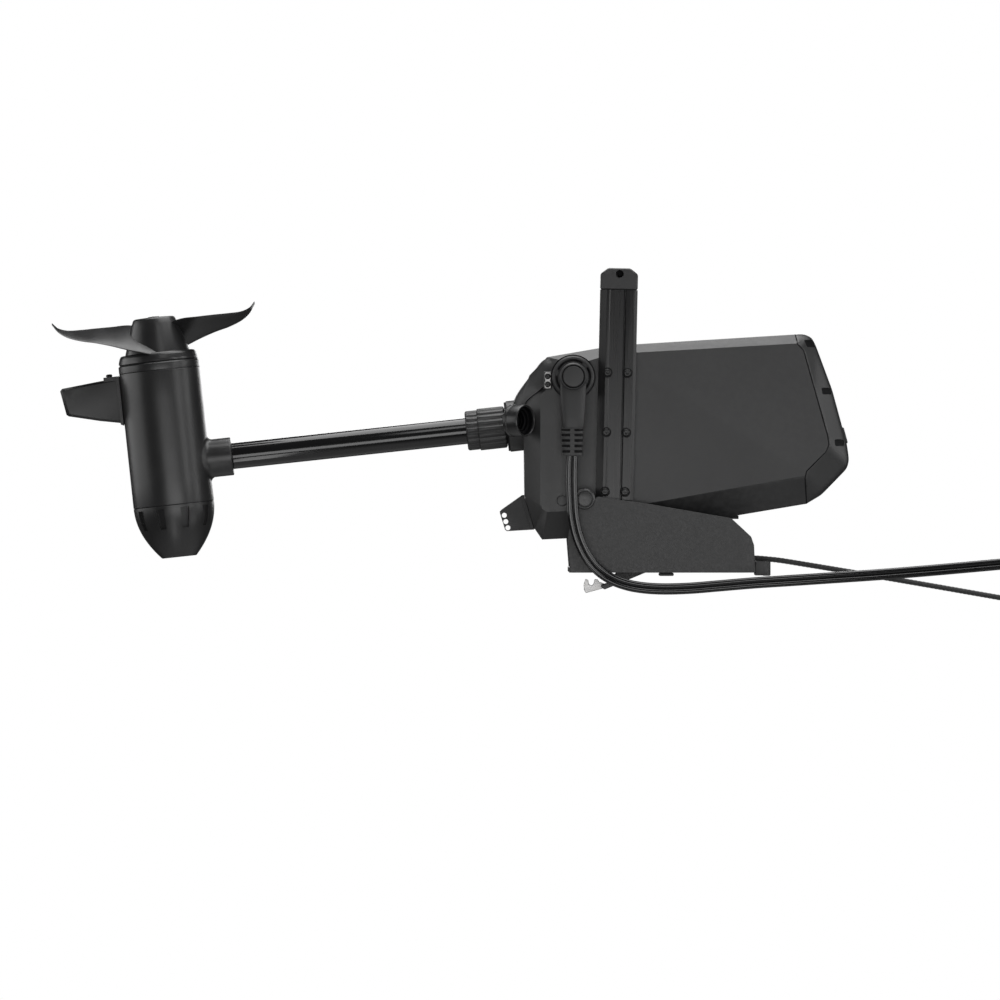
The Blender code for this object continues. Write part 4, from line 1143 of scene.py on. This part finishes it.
def make_collar():
    """The clamp nut: a smooth lip, a ribbed grip in two steps, and the collet it closes inside."""
    low = 328.5
    high = 372.5
    rings = [
        (circle(15.2), low + 4), (circle(15.2), low + 0.4), (circle(15.6), low), (circle(19.6), low),
        (circle(20.6), low + 0.5), (fluted(21.3, 0.5), low + 1.1), (fluted(21.7, 1.3), low + 1.9),
        (fluted(21.7, 1.3), low + 7), (fluted(21.7, 1.3), low + 12.8), (fluted(21.3, 0.9), low + 13.3),
        (fluted(22.5, 1.0), low + 13.8), (fluted(22.95, 1.5), low + 14.5), (fluted(22.95, 1.5), low + 24),
        (fluted(22.95, 1.5), high - 2.2), (fluted(22.6, 1.0), high - 1.3), (circle(21.3), high - 0.4),
        (circle(20.7), high), (circle(19.8), high), (circle(19.5), high - 0.3), (circle(19.5), low + 4),
    ]
    bm = shaped_lathe(rings, 240)
    faces = [f for f in bm.faces if len(f.verts) > 4]
    bmesh.ops.delete(bm, geom=faces, context="FACES_ONLY")
    edges = [e for e in bm.edges if e.is_boundary]
    bmesh.ops.bridge_loops(bm, edges=edges)
    stand_for(to_object("clamp_collar_fine", bm, SHAFT_AXIS, sharp=38), "clamp_collar")


def make_shaft():
    wall = fillet([(11.9, 47), (SHAFT_RADIUS, 47), (SHAFT_RADIUS, 560), (11.9, 560)], 0.5, 3)
    stand_for(to_object("shaft_tube_fine", lathe(wall, 128), SHAFT_AXIS), "shaft_tube")


BOSS_RADIUS = 20.95
BOSS_REACH = 69.8


def make_boss():
    """The shaft's boss, with a fillet that follows the motor's round side."""
    flare = 5.0
    angles = turn_angles(128)

    def on_motor(radius, angle):
        return math.sqrt(MOTOR_RADIUS**2 - (radius * math.cos(angle)) ** 2)

    rings = []
    for k in range(9):
        turn = math.pi / 2 * k / 8
        radius = BOSS_RADIUS + flare * (1 - math.sin(turn))
        lift = flare * (1 - math.cos(turn)) - 0.1
        rings.append(
            [(on_motor(radius, a) + lift, radius * math.cos(a), radius * math.sin(a)) for a in angles]
        )
    tail = [(BOSS_RADIUS, 52), (BOSS_RADIUS, BOSS_REACH), (14.6, BOSS_REACH), (14.6, 50)]
    for radius, reach in fillet(tail, 1.6, 5, closed=False):
        rings.append([(reach, radius * math.cos(a), radius * math.sin(a)) for a in angles])
    return rings_mesh([mm(*ring) for ring in rings], caps=False)


def make_motor_housing():
    shell = [(41.3, MOTOR_LOW), (MOTOR_RADIUS, MOTOR_LOW)]
    shell += [(MOTOR_RADIUS, height) for height in (-20, 0, 20, 45, 70)]
    shell += [(MOTOR_RADIUS, MOTOR_HIGH), (41.3, MOTOR_HIGH)]
    shell = lathe(fillet(shell, 0.5, 3), 160)
    housing = to_object("motor_housing_fine", merge(shell, make_boss()), LOWER_UNIT, sharp=40)
    stand_for(housing, "motor_housing")


def make_rear_bell():
    profile = fillet(
        [(13.3, 91), (16.6, 91), (16.6, 102.3), (MOTOR_RADIUS, 102.3), (MOTOR_RADIUS, 109.6),
         (43.2, BELL_HIGH), (5.3, BELL_HIGH), (5.3, 102), (13.3, 102)],
        0.5, 3,
    )
    stand_for(to_object("rear_bell_fine", lathe(profile, 160), LOWER_UNIT), "rear_bell")


NOSE_TOP = MOTOR_LOW - 0.3
NOSE_LENGTH = 57.2
NOSE_FLAT = 19.2
NOSE_SLOTS = 10


def nose_radius(share):
    return NOSE_FLAT + (MOTOR_RADIUS - NOSE_FLAT) * max(0.0, 1 - share**2.05)


def nose_slot(number):
    """A tapered cutter that leaves a flat-bottomed slot under the nose's seam."""
    rings = []
    for below, half, floor in ((3.5, 4.8, 40.6), (14.5, 4.1, 39.4), (25.5, 3.4, 36.6)):
        section = ((floor, -half), (60, -half - 1), (60, half + 1), (floor, half))
        rings.append(mm(*((x, y, NOSE_TOP - below) for x, y in section)))
    cutter = rings_mesh(rings)
    cutter.transform(Matrix.Rotation(2 * math.pi * number / NOSE_SLOTS, 4, "Z"))
    return to_object("nose_slot", cutter, LOWER_UNIT)


def make_nose_cone():
    top = NOSE_TOP
    profile = [(31, top - 30), (35.5, top - 12), (39, top)]
    profile += [(MOTOR_RADIUS - 0.5, top), (MOTOR_RADIUS, top - 0.4)]
    profile += [(nose_radius(k / 60), top - k / 60 * NOSE_LENGTH) for k in range(1, 61)]
    profile += [(NOSE_FLAT - 0.8, top - NOSE_LENGTH - 0.3), (0, top - NOSE_LENGTH - 0.3), (0, top - 30)]
    nose = to_object("nose_cone_fine", lathe(profile, 180), LOWER_UNIT, sharp=28)
    slots = [nose_slot(number) for number in range(NOSE_SLOTS)]
    stand_for(round_edges(nose, 0.5, 3, 40, slots), "nose_cone")


def make_skeg():
    refine("skeg", 0.7, 3, 25)
    screw = socket_screw(3.6, 2.6, 1.3, (3.0, 2.4))
    stand_for(to_object("skeg_screw_fine", screw, LOWER_UNIT @ at(-55.6, 0, 101.3)), "skeg_screw")


# The blade's two edges from inside the hub to the tip, in the motor's frame. The blade points along -X.
LEADING_EDGE = (
    (4, -37, 117.5), (-12, -42.5, 121.5), (-30, -38, 127), (-47.7, -31.5, 133.5), (-64.8, -27.5, 138.8),
    (-80.3, -24.5, 142.5), (-95, -19.9, 147.9), (-105, -14.7, 154.9), (-111.7, -8.7, 164.2),
)
TRAILING_EDGE = (
    (-4, 12, 150), (-16, 15, 153), (-31.6, 20.5, 156), (-49, 23.6, 156.1), (-66.4, 22.3, 156.3),
    (-81.9, 18.8, 156.3), (-96.2, 12.7, 156.9), (-105.8, 6.6, 160.3), (-112, 0, 166.6),
)
BLADE_ROOT_THICK = 7.0
BLADE_TIP_THICK = 1.5


def blade_section():
    """A cambered section with round edges: share of the chord, and height in half thicknesses."""
    upper = []
    lower = []
    for k in range(21):
        turn = math.pi * k / 20
        share = 0.5 - 0.5 * math.cos(turn)
        thick = math.sin(turn) ** 0.8
        camber = 0.40 * math.sin(math.pi * share)
        upper.append((share, camber + 0.60 * thick))
        lower.append((share, camber - 0.68 * thick))
    return upper + lower[-2:0:-1]


def blade_mesh():
    front_edge = finer(LEADING_EDGE, 6)
    back_edge = finer(TRAILING_EDGE, 6)
    section = blade_section()
    last = len(front_edge) - 1
    rings = []
    for i, (front, back) in enumerate(zip(front_edge, back_edge)):
        before = max(i - 1, 0)
        after = min(i + 1, last)
        span = front_edge[after] - front_edge[before] + back_edge[after] - back_edge[before]
        chord = back - front
        normal = span.cross(chord).normalized()
        if normal.z < 0:
            normal = -normal
        half = (BLADE_ROOT_THICK + (BLADE_TIP_THICK - BLADE_ROOT_THICK) * i / last) / 2
        rings.append([(front + chord * share + normal * half * height) * MM for share, height in section])
    return rings_mesh(rings)


def make_propeller():
    low = BELL_HIGH + 1.2
    skirt = [(43.7, low), (43.6, low + 2.2), (42.3, 118.6), (40.6, 121.6), (36.3, 121.9)]
    cone = [(36, 121.2), (35.6, 122), (25.8, 153), (22.6, 160.4), (9, 161.2)]
    hub = [(5.3, low)] + fillet(skirt, 3, 4, closed=False) + fillet(cone, 4, 5, closed=False)
    hub += [(8.4, 160.4), (6.6, 160.4), (6, 161.8), (0, 162.2), (0, 150), (5.3, 150)]
    hub_mesh = lathe(hub, 144)
    bmesh.ops.remove_doubles(hub_mesh, verts=hub_mesh.verts, dist=1e-7)
    blades = []
    for k in range(2):
        blade = blade_mesh()
        blade.transform(Matrix.Rotation(k * math.pi, 4, "Z"))
        blades.append(blade)
    prop = to_object("propeller_fine", merge(hub_mesh, *blades), LOWER_UNIT, sharp=34)
    stand_for(prop, "propeller", SMOOTH_MOULDING)


# ---- what stays as the CAD made it ----

def dress_the_rest():
    """The inner parts keep their CAD meshes and take their slot's finish."""
    for node, obj in frame["nodes"].items():
        if not obj.hide_render:
            dress(obj, LOOKS[NODE_SLOT[node]])


# ---- stage ----

# The stage isn't part of the object, and its sizes are in metres.
AMBIENT = 0.035
BACKDROP = 1.0
FLOOR_X = -0.16
FLOOR_RADIUS = 1.5
FLOOR_COVER = 0.6
FLOOR_HEIGHT = -0.78
MIDDLE = (-0.15, 0, 0.13)
MOTOR = (-0.54, 0, 0.12)
# Each softbox's name, place, aim, size and radiance.
SOFTBOXES = (
    ("front", (-0.27, -1.35, -0.07), MIDDLE, (1.05, 0.50), 3.55),
    ("left", (-1.84, 0.08, 0.35), MOTOR, (1.8, 1.0), 1.8),
    ("right_front", (0.62, -0.95, 0.4), MIDDLE, (0.28, 0.8), 4.4),
    ("right", (1.05, -0.30, 0.35), MIDDLE, (0.40, 0.9), 3.6),
    ("low_right", (0.75, -0.75, -0.45), (0.15, 0, 0.13), (0.5, 0.4), 2.2),
    ("under_nose", (-0.53, -0.58, -0.42), (-0.53, 0, 0.06), (0.11, 0.44), 3.4),
    ("over_hub", (-0.30, -0.95, 0.95), (-0.55, 0, 0.28), (0.26, 0.36), 2.6),
    ("back", (-0.15, 1.7, 0.35), MIDDLE, (1.3, 0.5), 3.4),
    ("top", (-0.1, 0.08, 1.5), MIDDLE, (1.7, 1.5), 4.2),
)


def make_floor():
    """A round pale floor, below the motor's lowest reach, that thins out to the white surround at its rim."""
    centre = Vector((FLOOR_X, 0, FLOOR_HEIGHT))
    rim = [centre + FLOOR_RADIUS * Vector((math.cos(a), math.sin(a), 0)) for a in turn_angles(96)]
    bm = bmesh.new()
    bm.faces.new([bm.verts.new(point) for point in rim])
    floor = to_object("floor", bm)
    look = Look("floor", 0.9, specular=0.1)
    look.shader.inputs["Base Color"].default_value = (0.8, 0.8, 0.8, 1)
    away = look.nodes.new("ShaderNodeVectorMath")
    away.operation = "DISTANCE"
    away.inputs[1].default_value = centre
    look.links.new(look.place, away.inputs[0])
    cover = look.spread(away.outputs["Value"], FLOOR_COVER, 0, FLOOR_RADIUS * 0.35, FLOOR_RADIUS * 0.99)
    look.links.new(cover, look.shader.inputs["Alpha"])
    floor.data.materials.append(look.material)


def make_softbox(name, place, aim, size, radiance):
    """A rectangular soft light at a place, facing an aim point, both in metres."""
    data = bpy.data.lights.new(name, "AREA")
    data.shape = "RECTANGLE"
    data.size, data.size_y = size
    data.energy = radiance * math.pi * size[0] * size[1]
    lamp = bpy.data.objects.new(name, data)
    lamp.visible_camera = False
    lamp.location = place
    lamp.rotation_euler = (Vector(place) - Vector(aim)).to_track_quat("Z", "Y").to_euler()
    bpy.context.scene.collection.objects.link(lamp)


def make_light():
    """Softboxes make the shape; the white surround shows behind the object and adds little light."""
    world = bpy.data.worlds.new("studio")
    world.use_nodes = True
    nodes = world.node_tree.nodes
    sky = nodes["Background"]
    sky.inputs["Color"].default_value = (1, 1, 1, 1)
    strength = nodes.new("ShaderNodeMapRange")
    strength.inputs["To Min"].default_value = AMBIENT
    strength.inputs["To Max"].default_value = BACKDROP
    links = world.node_tree.links
    links.new(nodes.new("ShaderNodeLightPath").outputs["Is Camera Ray"], strength.inputs["Value"])
    links.new(strength.outputs["Result"], sky.inputs["Strength"])
    bpy.context.scene.world = world
    for softbox in SOFTBOXES:
        make_softbox(*softbox)
    bpy.context.scene.view_settings.view_transform = "Standard"


make_camera()
make_power_cable()
make_pull_rope()
make_base()
make_head()
make_arm()
make_keeper()
make_power_plug()
make_cable_port()
make_trim_plate()
make_collar()
make_shaft()
make_motor_housing()
make_rear_bell()
make_nose_cone()
make_skeg()
make_propeller()
dress_the_rest()
make_floor()
make_light()
